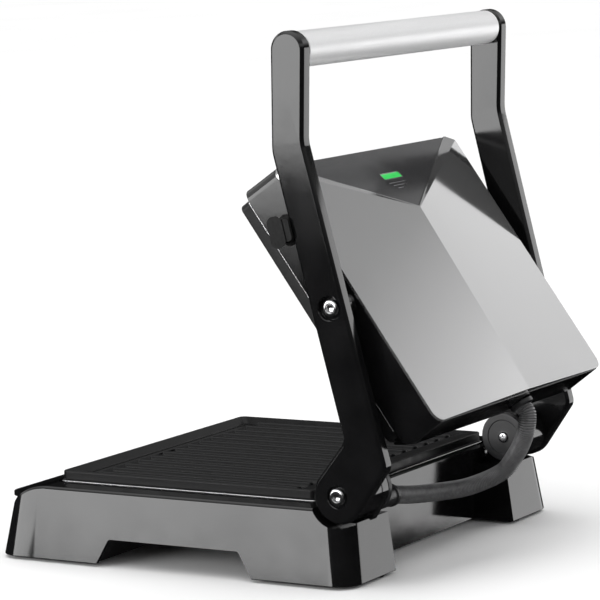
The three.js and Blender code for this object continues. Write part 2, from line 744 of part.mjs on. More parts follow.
const CONDUIT_GLAND_N = 27.4;
function lidHousing() {
  const low = 10.3;
  const outer = loft([
    lidRing(low, -6.8, 215.6, 0), lidRing(14.3, -6.6, 217.6, 0), lidRing(43.9, -5.4, 216.8, 0)]);
  const inner = loft([lidRing(low - 1, -6.8, 215.6, 2.6), lidRing(46, -5.2, 216.6, 2.6)]);
  const shelf = frame(
    lidRing(0, -5.4, 214, 1.2).points, roundedBox(-120, 120, 14, 194, 5), 13, 15.2);
  const lip = prismX(
    [[208, 0.9], [209.8, 0.9], [215.6, 10.4], [217, 13.6], [213.6, 13.6], [208, 9.3]], -124, 124);
  const roofLine = prismX([[-20, 36.6], [13.4, 43.9], [13.4, 60], [-20, 60]], -LID_HALF - 9, LID_HALF + 9);
  const bore = rodX(LID_PIVOT, SHAFT_RADIUS + GAP, 118, 140, 16);
  const conduitHole = rodY([CONDUIT_END[0], CONDUIT_GLAND_N], CONDUIT_RADIUS + 0.5, 200, 230, 20);
  return outer.subtract(inner).add(shelf).add(lip).subtract(roofLine)
    .subtract(bore).subtract(mirrored(bore)).subtract(conduitHole);
}
add('lid_housing', lidHousing(), glossBlack, lid);

function pivotBoss() {
  return rodX(LID_PIVOT, BOSS_RADIUS, LID_HALF + GAP, LID_HALF + 9)
    .subtract(rodX(LID_PIVOT, SHAFT_RADIUS + GAP, LID_HALF - 5, LID_HALF + 12, 16));
}
add('pivot_boss_right', pivotBoss(), glossBlack, lid);
add('pivot_boss_left', mirrored(pivotBoss()), glossBlack, lid);

function upperPlate() {
  const { half, length, flange, skirt } = UPPER_PLATE;
  const rim = 3;
  const floor = 5.6;
  const back = 9.8;
  const outer = prismZ(roundedBox(-half, half, 0, length, 5, 3), 0, flange)
    .add(prismZ(roundedBox(-half + 3, half - 3, 2.6, length - 2.6, 4, 3), 1, skirt));
  const pocket = loft([
    { z: -0.5, points: roundedBox(-half + rim, half - rim, rim, length - rim, 4, 3) },
    { z: floor, points: roundedBox(-half + 5.5, half - 5.5, 5.5, length - 5.5, 4, 3) },
  ]);
  const over = box(-half + 6, half - 6, 5.6, length - 5.6, back, skirt + 1);
  const ribBodies = ribs(14, length - 14, -floor - 0.5, -1.4).mirror([0, 0, 1]);
  return outer.subtract(pocket).subtract(over).add(ribBodies);
}
add('upper_grill_plate', upperPlate(), coated, lid);

function upperTrim() {
  const { half, length } = UPPER_PLATE;
  return frame(
    roundedBox(-half - 1, half + 1, -0.9, length - 0.2, 5, 3),
    roundedBox(-half + 2.7, half - 2.7, 2.3, length - 2.3, 4, 3), 9.5, 10);
}
add('upper_trim_frame', upperTrim(), chrome, lid);

const UPPER_ELEMENT_N = 14;
add('upper_heating_element',
  bar(elementPath(85, 34, 170, UPPER_ELEMENT_N, 180), ELEMENT_RADIUS, 32, 6), dullSteel, lid);
add('upper_reflector', reflector(125, 9, 199, 19, 15.5), steel, lid);

function conduitGland() {
  const at = [CONDUIT_END[0], CONDUIT_GLAND_N];
  const face = 217.9;
  return rodY(at, 9.4, face, face + 3.2).subtract(rodY(at, CONDUIT_RADIUS + 0.4, face - 1, face + 5, 20));
}
add('conduit_gland', conduitGland(), satinBlack, lid);

export default group;
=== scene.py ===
import json
import math

import bmesh
import bpy
from mathutils import Matrix, Vector


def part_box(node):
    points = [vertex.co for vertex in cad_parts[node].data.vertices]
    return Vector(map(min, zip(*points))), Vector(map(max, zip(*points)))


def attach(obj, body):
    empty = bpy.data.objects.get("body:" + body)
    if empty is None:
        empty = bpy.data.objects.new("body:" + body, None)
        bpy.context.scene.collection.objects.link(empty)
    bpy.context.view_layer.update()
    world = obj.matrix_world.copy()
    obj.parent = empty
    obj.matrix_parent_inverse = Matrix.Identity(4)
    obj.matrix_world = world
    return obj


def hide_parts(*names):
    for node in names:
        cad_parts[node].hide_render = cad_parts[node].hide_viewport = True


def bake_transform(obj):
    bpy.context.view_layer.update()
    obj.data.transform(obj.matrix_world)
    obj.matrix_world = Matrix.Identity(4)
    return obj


# Contact grill, shown open. Outlines are in millimetres and are placed in metres by a frame matrix.

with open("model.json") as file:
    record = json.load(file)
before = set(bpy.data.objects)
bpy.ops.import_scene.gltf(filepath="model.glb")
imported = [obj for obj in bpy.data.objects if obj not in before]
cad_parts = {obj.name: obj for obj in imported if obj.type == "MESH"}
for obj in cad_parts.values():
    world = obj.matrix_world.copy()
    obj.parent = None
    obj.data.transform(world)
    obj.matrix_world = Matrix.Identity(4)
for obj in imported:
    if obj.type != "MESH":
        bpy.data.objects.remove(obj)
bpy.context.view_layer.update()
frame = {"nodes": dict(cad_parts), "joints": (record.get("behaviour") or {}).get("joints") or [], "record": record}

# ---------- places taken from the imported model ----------
MM = 0.001
BEHAVIOUR = frame["record"]["behaviour"]
JOINTS = {joint["name"]: joint for joint in frame["joints"]}
HINGE_POINT = Vector(JOINTS["arm_hinge"]["pos_m"])
PIVOT_POINT = Vector(JOINTS["lid_pivot"]["pos_m"])
LID_RATIO = BEHAVIOUR["couplings"][0]["ratio"]
OPEN_ANGLE = math.radians(JOINTS["arm_hinge"]["range_deg"][1] * (1 + LID_RATIO))

# y runs from the hinge line and z from the table
STAND = Matrix.Translation((0, HINGE_POINT.y, 0)) @ Matrix.Scale(MM, 4)
# in the lid's frame x runs along the pivot, y back along the plate and z away from the plate
LID_PIVOT = (107, 32)
LID = (Matrix.Translation(PIVOT_POINT) @ Matrix.Rotation(-OPEN_ANGLE, 4, "X") @ Matrix.Scale(MM, 4)
       @ Matrix.Translation((0, -LID_PIVOT[0], -LID_PIVOT[1])))


def span(node):
    """Lowest and highest corner of a CAD node, in the stand's millimetres."""
    low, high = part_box(node)
    to_mm = STAND.inverted()
    return to_mm @ low, to_mm @ high


HINGE = tuple((STAND.inverted() @ HINGE_POINT).yz)
PIVOT = tuple((STAND.inverted() @ PIVOT_POINT).yz)
BASE_LOW, BASE_HIGH = span("base_housing")
BASE_HALF = BASE_HIGH.x
BASE_FRONT = BASE_LOW.y
BASE_FOOT = BASE_LOW.z
HANDLE_LOW, HANDLE_HIGH = span("handle_tube")
HANDLE = ((HANDLE_LOW.y + HANDLE_HIGH.y) / 2, (HANDLE_LOW.z + HANDLE_HIGH.z) / 2)
PLATE_LOW, PLATE_HIGH = span("lower_grill_plate")

# ---------- driving dimensions ----------
BASE_REAR = 13
BASE_TOP = 58
BASE_DRAFT = 0.12
BASE_CORNER = 18.5
NOSE_START = -262
NOSE_RADIUS = 48
WALL = 3
LEG_HALF_GAP = 92.5
REAR_WALL = -24
LEG_TOP = 46.5
LEG_TOP_START = -21.5
NOTCH_RADIUS = 23.4
NOTCH_INSIDE = 138
RECESS_CORNER = 2.5
DECK_ROUNDING = 2.6
ARCH = [(-213, -5), (-213, 2), (-201.5, 22), (-84.5, 22), (-71.5, 2), (-71.5, -5)]
OPENING = (131.5, -267, -28.5)
LEDGE = (120, -256, -41, 48, 50.8)
LUG = (109.3, 118.3)
BARREL_RADIUS = 19.3
SHAFT_RADIUS = 4
RIB_COUNT = 14
RIB_PITCH = 17.4
RIB_WIDTH = 9
RIB_DROP = 1.4
PLATE_DEPTH = 5.6
ARM_OUTSIDE = 150.3
ARM_THICKNESS = 11.7
ARM_SPLAY = 3.8
HUB_RADIUS = 20.5
TIP_RADIUS = 14
LOWER_ELBOW_Z = 90.1
UPPER_ELBOW_Z = 324.9
LID_HALF = 131
LID_CORNER = 9
COVER_FRONT = -5.8
COVER_REAR = 216.5
COVER_SKIN = 3.4
GLAND_AT = (27.4, -21.5)
TRAY_WALL = 1.8
RUNNING_GAP = 0.3
# how far cutters reach past what they cut, and the height they reach above the deck
PAST = 9
CUT_TOP = 70


# ---------- outlines ----------
def arc(center, radius, start, stop, steps):
    points = []
    for i in range(steps + 1):
        angle = math.radians(start + (stop - start) * i / steps)
        points.append((center[0] + radius * math.cos(angle), center[1] + radius * math.sin(angle)))
    return points


def circle(center, radius, sides=64):
    return arc(center, radius, 0, 360 - 360 / sides, sides - 1)


def rounded_box(x0, x1, y0, y1, radius, steps=8):
    return (arc((x1 - radius, y0 + radius), radius, -90, 0, steps)
            + arc((x1 - radius, y1 - radius), radius, 0, 90, steps)
            + arc((x0 + radius, y1 - radius), radius, 90, 180, steps)
            + arc((x0 + radius, y0 + radius), radius, 180, 270, steps))


def filleted(corners, steps=6):
    """Outline through (a, b, radius) corners, each rounded with its radius."""
    outline = []
    count = len(corners)
    for i, (a, b, radius) in enumerate(corners):
        here = Vector((a, b))
        if radius == 0:
            outline.append((a, b))
            continue
        before = (Vector(corners[i - 1][:2]) - here).normalized()
        after = (Vector(corners[(i + 1) % count][:2]) - here).normalized()
        half = before.angle(after) / 2
        reach = radius / math.tan(half)
        center = here + (before + after).normalized() * radius / math.sin(half)
        start = here + before * reach - center
        stop = here + after * reach - center
        turn = start.angle_signed(stop)
        for k in range(steps + 1):
            point = center + Matrix.Rotation(-turn * k / steps, 2) @ start
            outline.append(tuple(point))
    return outline


def inset(outline, distance):
    """The outline moved inwards, corner by corner. Outlines run anticlockwise."""
    moved = []
    count = len(outline)
    for i in range(count):
        before, here, after = (Vector(outline[k % count]) for k in (i - 1, i, i + 1))
        along, onward = (here - before).normalized(), (after - here).normalized()
        normal = Vector((-along.y - onward.y, along.x + onward.x))
        moved.append(tuple(here + normal * (2 * distance / max(normal.length_squared, 0.6))))
    return moved


# ---------- meshes ----------
AXES = {
    "X": lambda a, b, height: (height, a, b),
    "Y": lambda a, b, height: (b, height, a),
    "Z": lambda a, b, height: (a, b, height),
}


def make(name, verts, faces, place):
    mesh = bpy.data.meshes.new(name)
    mesh.from_pydata([place @ Vector(v) for v in verts], [], faces)
    mesh.validate()
    shape = bpy.data.objects.new(name, mesh)
    bpy.context.scene.collection.objects.link(shape)

    def face_out(bm):
        bmesh.ops.recalc_face_normals(bm, faces=bm.faces)
        if bm.calc_volume(signed=True) < 0:
            bmesh.ops.reverse_faces(bm, faces=bm.faces)
    edit(shape, face_out)
    return shape


def edit(shape, work):
    bm = bmesh.new()
    bm.from_mesh(shape.data)
    work(bm)
    bm.to_mesh(shape.data)
    bm.free()


def stack(name, layers, axis="Z", place=STAND, closed=False):
    """Skin through layers, each an outline and its height; capped, or closed on itself as a ring."""
    turn = AXES[axis]
    verts = [turn(a, b, height) for outline, height in layers for a, b in outline]
    count = len(layers[0][0])
    total = len(layers)
    faces = []
    for level in range(total if closed else total - 1):
        low, high = level * count, ((level + 1) % total) * count
        for i in range(count):
            k = (i + 1) % count
            faces.append((low + i, low + k, high + k, high + i))
    if not closed:
        faces.append(tuple(reversed(range(count))))
        faces.append(tuple(range((total - 1) * count, total * count)))
    return make(name, verts, faces, place)


def quarter(edge, steps):
    """Pairs of inset and rise along a rounded edge, from the flat face to the side."""
    pairs = []
    for i in range(steps + 1):
        angle = math.radians(90 * i / steps)
        pairs.append((edge * (1 - math.sin(angle)), edge * (1 - math.cos(angle))))
    return pairs


def slab(name, outline, low, high, edge=0.6, axis="Z", place=STAND):
    """The outline from low to high with rounded edges."""
    rounding = quarter(edge, 3)
    bottom = [(inset(outline, aside), low + rise) for aside, rise in rounding]
    top = [(inset(outline, aside), high - rise) for aside, rise in reversed(rounding)]
    return stack(name, bottom + top, axis, place)


def turned(name, profile, center, axis="X", place=STAND, sides=64, hollow=False):
    """Body of revolution through (along, radius) points."""
    layers = [(circle(center, radius, sides), along) for along, radius in profile]
    return stack(name, layers, axis, place, closed=hollow)


def prism(outline, low, high, axis="Z", place=STAND):
    """Straight block over an outline, with sharp edges."""
    return stack("prism", [(outline, low), (outline, high)], axis, place)


def box(x0, x1, y0, y1, z0, z1, place=STAND):
    return prism(rounded_box(x0, x1, y0, y1, 0.01, 1), z0, z1, place=place)


def rod(center, radius, x0, x1, sides=64, place=STAND):
    return turned("cutter", [(x0, radius), (x1, radius)], center, place=place, sides=sides)


def band(name, outer, inner, low, high, edge=0.2, place=STAND):
    """Flat frame between two outlines with the same number of points."""
    outer_edge, inner_edge = inset(outer, edge), inset(inner, -edge)
    layers = [(outer_edge, low), (outer, low + edge), (outer, high - edge), (outer_edge, high),
              (inner_edge, high), (inner, high - edge), (inner, low + edge), (inner_edge, low)]
    return stack(name, layers, "Z", place, closed=True)


def combine(target, operation, *tools):
    for tool in tools:
        step = target.modifiers.new("boolean", "BOOLEAN")
        step.solver = "EXACT"
        step.operation = operation
        step.object = tool
        graph = bpy.context.evaluated_depsgraph_get()
        mesh = bpy.data.meshes.new_from_object(target.evaluated_get(graph))
        target.modifiers.remove(step)
        target.data = mesh
        bpy.data.objects.remove(tool)
    return target


def cut(target, *tools):
    return combine(target, "DIFFERENCE", *tools)


def join(target, *tools):
    return combine(target, "UNION", *tools)


def flip_sides(bm):
    for vert in bm.verts:
        vert.co.x = -vert.co.x
    bmesh.ops.reverse_faces(bm, faces=bm.faces)


def mirrored(shape):
    """Copy on the other side of the middle plane."""
    twin = shape.copy()
    twin.data = shape.data.copy()
    bpy.context.scene.collection.objects.link(twin)
    edit(twin, flip_sides)
    return twin


def cleaned(shape, angle=0.4):
    """Merges flat triangles left by the cuts."""
    def work(bm):
        bmesh.ops.remove_doubles(bm, verts=bm.verts, dist=2e-6)
        bmesh.ops.dissolve_limit(bm, angle_limit=math.radians(angle), verts=bm.verts, edges=bm.edges)
    edit(shape, work)
    return shape


def softened(shape, width, segments=3, angle=32, only=None):
    """Rounds the edges sharper than an angle; only may pick among them."""
    def work(bm):
        edges = [edge for edge in bm.edges
                 if edge.is_manifold and edge.calc_face_angle(0) > math.radians(angle)
                 and (only is None or only(edge))]
        bmesh.ops.bevel(bm, geom=edges, offset=width * MM, offset_type="OFFSET", segments=segments,
                        profile=0.5, affect="EDGES", clamp_overlap=True, miter_outer="ARC")
    edit(shape, work)
    return shape


def dress(shape, name, body, surface, *nodes, smooth=34):
    """Name, surface and body of a finished piece, and the CAD nodes it stands for."""
    slot, material = surface
    shape.name = name
    shape.data.name = name
    shape.data.materials.clear()
    shape.data.materials.append(material)
    for face in shape.data.polygons:
        face.use_smooth = True
    shape.data.set_sharp_from_angle(angle=math.radians(smooth))
    weights = shape.modifiers.new("flat faces", "WEIGHTED_NORMAL")
    weights.keep_sharp = True
    if nodes:
        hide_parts(*nodes)
    if isinstance(body, str):
        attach(shape, body)
    return shape


# ---------- materials ----------
class Surface:
    """A node material with helpers for procedural detail in object space."""

    def __init__(self, name, color, roughness, metallic=0.0, **values):
        self.material = bpy.data.materials.new(name)
        self.material.use_nodes = True
        self.tree = self.material.node_tree
        self.shader = self.tree.nodes["Principled BSDF"]
        self.shader.inputs["Base Color"].default_value = (*color, 1)
        self.shader.inputs["Roughness"].default_value = roughness
        self.shader.inputs["Metallic"].default_value = metallic
        for socket, value in values.items():
            self.shader.inputs[socket.replace("_", " ")].default_value = value
        self.place = self.tree.nodes.new("ShaderNodeTexCoord").outputs["Object"]
        self.height = None

    def link(self, a, b):
        self.tree.links.new(a, b)

    def pattern(self, kind, output, vector, **values):
        """One output of a new node that is fed with a place and with values."""
        node = self.tree.nodes.new(kind)
        for socket, value in values.items():
            node.inputs[socket].default_value = value
        self.link(vector, node.inputs["Vector"])
        return node.outputs[output]

    def stretched(self, scale):
        return self.pattern("ShaderNodeMapping", "Vector", self.place, Scale=scale)

    def noise(self, scale, detail=3.0, vector=None):
        return self.pattern("ShaderNodeTexNoise", "Fac", vector or self.place, Scale=scale, Detail=detail)

    def cells(self, scale):
        return self.pattern("ShaderNodeTexVoronoi", "Distance", self.place, Scale=scale)

    def ramp(self, factor, low, high, start=0.3, stop=0.7):
        """A factor mapped between two values or colours."""
        node = self.tree.nodes.new("ShaderNodeValToRGB")
        ends = node.color_ramp.elements
        ends[0].position, ends[1].position = start, stop
        for end, value in zip(ends, (low, high)):
            end.color = (*value, 1) if isinstance(value, tuple) else (value, value, value, 1)
        self.link(factor, node.inputs["Fac"])
        return node.outputs["Color"]

    def color(self, source):
        self.link(source, self.shader.inputs["Base Color"])
        return self

    def roughness(self, source):
        self.link(source, self.shader.inputs["Roughness"])
        return self

    def bump(self, height, strength, distance):
        node = self.tree.nodes.new("ShaderNodeBump")
        node.inputs["Strength"].default_value = strength
        node.inputs["Distance"].default_value = distance
        self.link(height, node.inputs["Height"])
        if self.height:
            self.link(self.height, node.inputs["Normal"])
        self.height = node.outputs["Normal"]
        self.link(self.height, self.shader.inputs["Normal"])
        return self


def grained(name, color, roughness, metallic, tints, sheen, relief, **values):
    """Noise in colour, roughness and relief. Each is the noise's scale and detail, then the two values
    it runs between, or for the relief its strength and depth."""
    s = Surface(name, color, roughness, metallic, **values)
    s.color(s.ramp(s.noise(*tints[:2]), *tints[2:]))
    s.roughness(s.ramp(s.noise(*sheen[:2]), *sheen[2:]))
    return s.bump(s.noise(*relief[:2]), *relief[2:]).material


def satin_black():
    s = Surface("satin_black", (0.014, 0.014, 0.015), 0.42)
    s.color(s.ramp(s.noise(90), (0.011, 0.011, 0.012), (0.018, 0.018, 0.019)))
    s.roughness(s.ramp(s.noise(300), 0.36, 0.5))
    return s.bump(s.cells(1800), 0.35, 0.00008).material


def nonstick():
    s = Surface("nonstick", (0.006, 0.006, 0.0064), 0.34, 0.0, IOR=1.24)
    s.color(s.ramp(s.noise(2600, 2), (0.003, 0.003, 0.0033), (0.012, 0.012, 0.0125), 0.35, 0.72))
    s.roughness(s.ramp(s.noise(120, 4), 0.28, 0.42))
    s.bump(s.noise(900, 3), 0.3, 0.00012)
    return s.bump(s.noise(160, 2), 0.15, 0.0004).material


def lens_green():
    s = Surface("lens_green", (0.01, 0.35, 0.05), 0.12, 0.0, Emission_Strength=0.18)
    glow = s.ramp(s.noise(120, 1), (0.008, 0.3, 0.04), (0.05, 0.62, 0.12), 0.35, 0.62)
    s.link(glow, s.shader.inputs["Emission Color"])
    s.color(glow)
    return s.bump(s.noise(500, 2), 0.1, 0.0001).material


def handle_aluminium():
    s = Surface("handle_aluminium", (0.71, 0.71, 0.715), 0.4, 0.35, Anisotropic=0.3)
    s.color(s.ramp(s.noise(1500, 3), (0.68, 0.68, 0.685), (0.74, 0.74, 0.745)))
    lines = s.noise(1, 4, s.stretched((30, 2600, 2600)))
    s.roughness(s.ramp(lines, 0.4, 0.52))
    return s.bump(lines, 0.12, 0.00005).material


def sheet_steel():
    s = Surface("sheet_steel", (0.46, 0.46, 0.47), 0.34, 1.0)
    s.color(s.ramp(s.noise(150, 5), (0.38, 0.38, 0.39), (0.52, 0.52, 0.53)))
    lines = s.noise(1, 4, s.stretched((60, 2400, 2400)))
    s.roughness(s.ramp(lines, 0.26, 0.46))
    return s.bump(lines, 0.15, 0.00005).material


def floor_grey():
    s = Surface("floor_grey", (0.86, 0.86, 0.86), 0.75)
    s.color(s.ramp(s.noise(1.5, 2), (0.85, 0.85, 0.85), (0.88, 0.88, 0.88)))
    return s.roughness(s.ramp(s.noise(6, 2), 0.7, 0.8)).material


# each surface is a slot name and the material that shows it; the pieces take only the material
BLACK = "gloss_black", grained(
    "gloss_black", (0.004, 0.004, 0.0042), 0.1, 0,
    (40, 3, (0.003, 0.003, 0.0032), (0.005, 0.005, 0.0053)),
    (22, 5, 0.07, 0.14), (140, 2, 0.06, 0.0002), IOR=1.42)
SATIN = "satin_black", satin_black()
GRIP = "satin_black", grained(
    "grip_black", (0.006, 0.006, 0.006), 0.3, 0,
    (300, 3, (0.004, 0.004, 0.004), (0.009, 0.009, 0.009)),
    (700, 2, 0.24, 0.4), (1200, 2, 0.12, 0.00006), IOR=1.18)
COATED = "nonstick_plate", nonstick()
SILVER = "silver_paint", grained(
    "silver_paint", (0.42, 0.42, 0.422), 0.12, 0.9,
    (4200, 1, (0.41, 0.41, 0.412), (0.44, 0.44, 0.442)),
    (30, 4, 0.07, 0.1), (60, 1, 0.02, 0.0001))
PANEL = "panel_grey", grained(
    "panel_grey", (0.06, 0.06, 0.062), 0.16, 0.5,
    (3600, 1, (0.052, 0.052, 0.054), (0.075, 0.075, 0.077)),
    (60, 4, 0.13, 0.2), (260, 2, 0.04, 0.0002))
GREEN = "lens_green", lens_green()
ALUMINIUM = "handle_aluminium", handle_aluminium()
CHROME = "bolt_chrome", grained(
    "bolt_chrome", (0.5, 0.5, 0.505), 0.1, 1.0,
    (400, 3, (0.46, 0.46, 0.465), (0.54, 0.54, 0.545)),
    (700, 4, 0.08, 0.2), (900, 3, 0.08, 0.00005))
TRIM = "bright_trim", grained(
    "bright_trim", (0.7, 0.7, 0.71), 0.2, 1.0,
    (300, 3, (0.62, 0.62, 0.63), (0.76, 0.76, 0.77)),
    (900, 3, 0.16, 0.28), (700, 2, 0.08, 0.00005))
STEEL = "sheet_steel", sheet_steel()
CONDUIT = "conduit_grey", grained(
    "conduit_grey", (0.12, 0.12, 0.122), 0.36, 0.3,
    (260, 4, (0.1, 0.1, 0.102), (0.15, 0.15, 0.153)),
    (500, 3, 0.3, 0.42), (1600, 2, 0.15, 0.00006))
RUBBER = "rubber", grained(
    "rubber", (0.016, 0.016, 0.016), 0.8, 0,
    (200, 3, (0.012, 0.012, 0.012), (0.022, 0.022, 0.022)),
    (400, 3, 0.7, 0.88), (1500, 3, 0.3, 0.0001))


# ---------- base ----------
def base_ring(z, aside, steps=10):
    """Outline of the drafted base at a height."""
    shrink = BASE_DRAFT * (z - BASE_FOOT) + aside
    half = BASE_HALF - shrink
    corner = max(BASE_CORNER - aside, 3)
    return rounded_box(-half, half, BASE_FRONT + shrink, BASE_REAR - shrink, corner, steps)


def deck_height(y):
    """Height of the deck, which bends down in a wide curve at the front."""
    ahead = max(NOSE_START - y, 0)
    return BASE_TOP - NOSE_RADIUS + math.sqrt(NOSE_RADIUS ** 2 - ahead ** 2)


def base_skin(layers, aside):
    """Skin through rings of the base, pressed down at the front so that the deck bends."""
    steps, along = 10, 10
    verts = []
    for z, more in layers:
        ring = base_ring(z, aside + more, steps)
        corner = steps + 1
        x, y = ring[corner - 1]
        side = [(x, y + (NOSE_START - y) * (k + 1) / along) for k in range(along)]
        other_side = [(-x, y) for x, y in reversed(side)]
        ring = ring[:corner] + side + ring[corner:3 * corner] + other_side + ring[3 * corner:]
        share = (z - BASE_FOOT) / (BASE_TOP - BASE_FOOT)
        verts += [(x, y, z - share * (BASE_TOP - deck_height(y))) for x, y in ring]
    count = len(ring)
    faces = [tuple(reversed(range(count)))]
    for level in range(len(layers) - 1):
        low, high = level * count, (level + 1) * count
        for i in range(count):
            k = (i + 1) % count
            faces.append((low + i, low + k, high + k, high + i))
    top, last = (len(layers) - 1) * count, count - 1
    faces += [(top + i, top + i + 1, top + last - i - 1, top + last - i) for i in range(count // 2 - 1)]
    return make("base", verts, faces, STAND)


def base_cutters(extra):
    """The room behind the deck, above the rear legs and round the arm hubs."""
    within = NOTCH_INSIDE + extra
    beside = BASE_HALF + PAST
    gap = LEG_HALF_GAP + extra
    between_legs = rounded_box(-gap, gap, REAR_WALL - extra, BASE_REAR + 20, RECESS_CORNER)
    recess = prism(between_legs, -5, CUT_TOP)
    over_legs = box(-within, within, LEG_TOP_START - extra, BASE_REAR + PAST, LEG_TOP - extra, CUT_TOP)
    # no two cutters end on the same plane
    behind_hubs = box(-beside, beside, -extra, BASE_REAR + PAST + 0.5, LEG_TOP - extra, CUT_TOP + 1)
    notch = rod(HINGE, NOTCH_RADIUS + extra, NOTCH_INSIDE - extra, beside + 1, 96)
    return recess, over_legs, behind_hubs, notch, mirrored(notch)


def hinge_lug():
    foot_height = LEG_TOP - WALL / 2
    rim = arc(HINGE, BARREL_RADIUS, -25, 205, 44)
    outline = [(BARREL_RADIUS * 0.42, foot_height), *rim, (-BARREL_RADIUS, foot_height)]
    return slab("lug", outline, *LUG, edge=0.5, axis="X")


def plate_shelf():
    """Ledge inside the shell under the plate's rim."""
    half, front, rear, low, high = LEDGE
    ring = base_ring(high, WALL / 2)
    shelf = prism(ring, low, high)
    cut(shelf, prism(rounded_box(-half, half, front, rear, 6), low - 1, high + 1))
    return cut(shelf, *base_cutters(WALL / 2))


def base_shell():
    layers = [(BASE_FOOT, 0.7), (BASE_FOOT + 0.25, 0.25), (BASE_FOOT + 0.7, 0)]
    layers += [(BASE_TOP - rise, aside) for aside, rise in reversed(quarter(DECK_ROUNDING, 6))]
    shell = cut(base_skin(layers, 0), *base_cutters(0))
    hollow = base_skin([(BASE_FOOT - 4, 0), (BASE_TOP - WALL, 0)], WALL)
    cut(shell, cut(hollow, *base_cutters(WALL)))
    join(shell, plate_shelf())
    half, front, rear = OPENING
    cut(shell, prism(rounded_box(-half, half, front, rear, 5), LEDGE[-1], CUT_TOP))
    arch = filleted([(y, z, 3 if 0 < z else 0) for y, z in ARCH])[::-1]
    cut(shell, prism(arch, -BASE_HALF - PAST, BASE_HALF + PAST, "X"))
    tray_low, tray_high = span("drip_tray")
    window = tray_high.x + 1
    cut(shell, box(-window, window, BASE_FRONT - 5, BASE_FRONT + 25, tray_low.z - 1, tray_high.z + 1))
    lug = hinge_lug()
    join(shell, lug, mirrored(lug))
    cleaned(shell)
    softened(shell, 0.7, 2)
    return dress(shell, "base_shell", "base", BLACK, "base_housing", "rear_leg_right", "rear_leg_left")


base_shell()


def tray_rails():
    """Shelf with two low sides under the drip tray."""
    low, high = span("drip_tray")
    half, slot = high.x + 4, high.x + 0.8
    front, rear = BASE_FRONT + 9, high.y - 1
    rails = slab("rails", rounded_box(-half, half, front, rear, 2), low.z - 3.2, low.z + 6)
    cut(rails, box(-slot, slot, front - 5, rear + 5, low.z - RUNNING_GAP, low.z + PAST))
    return dress(rails, "tray_rails", "base", BLACK)


def foot(name):
    """Rubber pad with a shallow ring in its sole."""
    low, high = span(name)
    center = ((low.x + high.x) / 2, (low.y + high.y) / 2)
    radius = (high.x - low.x) / 2
    groove = [(0, 0.6), (0.5, 0.9), (0.5, radius - 2.9), (0, radius - 2.4)]
    rim = [(0, radius - 1), (0.2, radius - 0.5), (0.7, radius), (high.z, radius), (high.z, 1)]
    shape = turned("foot", groove + rim, center, axis="Z", sides=48)
    return dress(shape, name + "_pad", "base", RUBBER, name)


for feet_side in ("right", "left"):
    for feet_end in ("front", "rear"):
        foot(f"foot_{feet_end}_{feet_side}")


def drip_tray():
    low, high = span("drip_tray")
    half, rear, front = high.x, high.y, low.y + 12
    bottom = low.z + TRAY_WALL
    tray = slab("tray", rounded_box(-half, half, low.y - PAST, rear, 2), low.z, high.z, 0.7)
    combine(tray, "INTERSECT", base_skin([(BASE_FOOT - 4, 0), (BASE_TOP, 0)], 0.5))
    softened(tray, 0.6, 2, 50)
    hollow = inset(rounded_box(-half, half, front - TRAY_WALL, rear, 3), TRAY_WALL)
    cut(tray, stack("cutter", [(inset(hollow, 2.5), bottom), (inset(hollow, 0.7), bottom + 0.8),
                               (hollow, bottom + 2.6), (hollow, high.z + 5)]))
    grip = rounded_box(-18, 18, low.y + 0.1, front + 1, 2.4)
    join(tray, slab("grip", grip, high.z - 4.5, high.z - 0.05, 0.9))
    return dress(tray, "drip_tray_shell", "drip_tray", BLACK, "drip_tray")


drip_tray()


# ---------- grill plates ----------
def rib_shape(x, y0, y1, low, crest, place):
    """One rib with a rounded crest and ends, from its foot at low to its crest, above or below it."""
    rise = crest - low
    half = RIB_WIDTH / 2
    outline = arc((x, y0 + half), half, 180, 360, 16) + arc((x, y1 - half), half, 0, 180, 16)
    sections = [(0, 0), (0.45, 0.7), (0.72, 1.25), (0.88, 1.75), (0.97, 2.3), (1, 2.9)]
    layers = [(inset(outline, aside), low + rise * share) for share, aside in sections]
    return stack("rib", layers, place=place)


def rib_field(y0, y1, low, crest, place):
    """All ribs of a plate, side by side."""
    first = -(RIB_COUNT - 1) / 2 * RIB_PITCH
    return [rib_shape(first + i * RIB_PITCH, y0, y1, low, crest, place) for i in range(RIB_COUNT)]


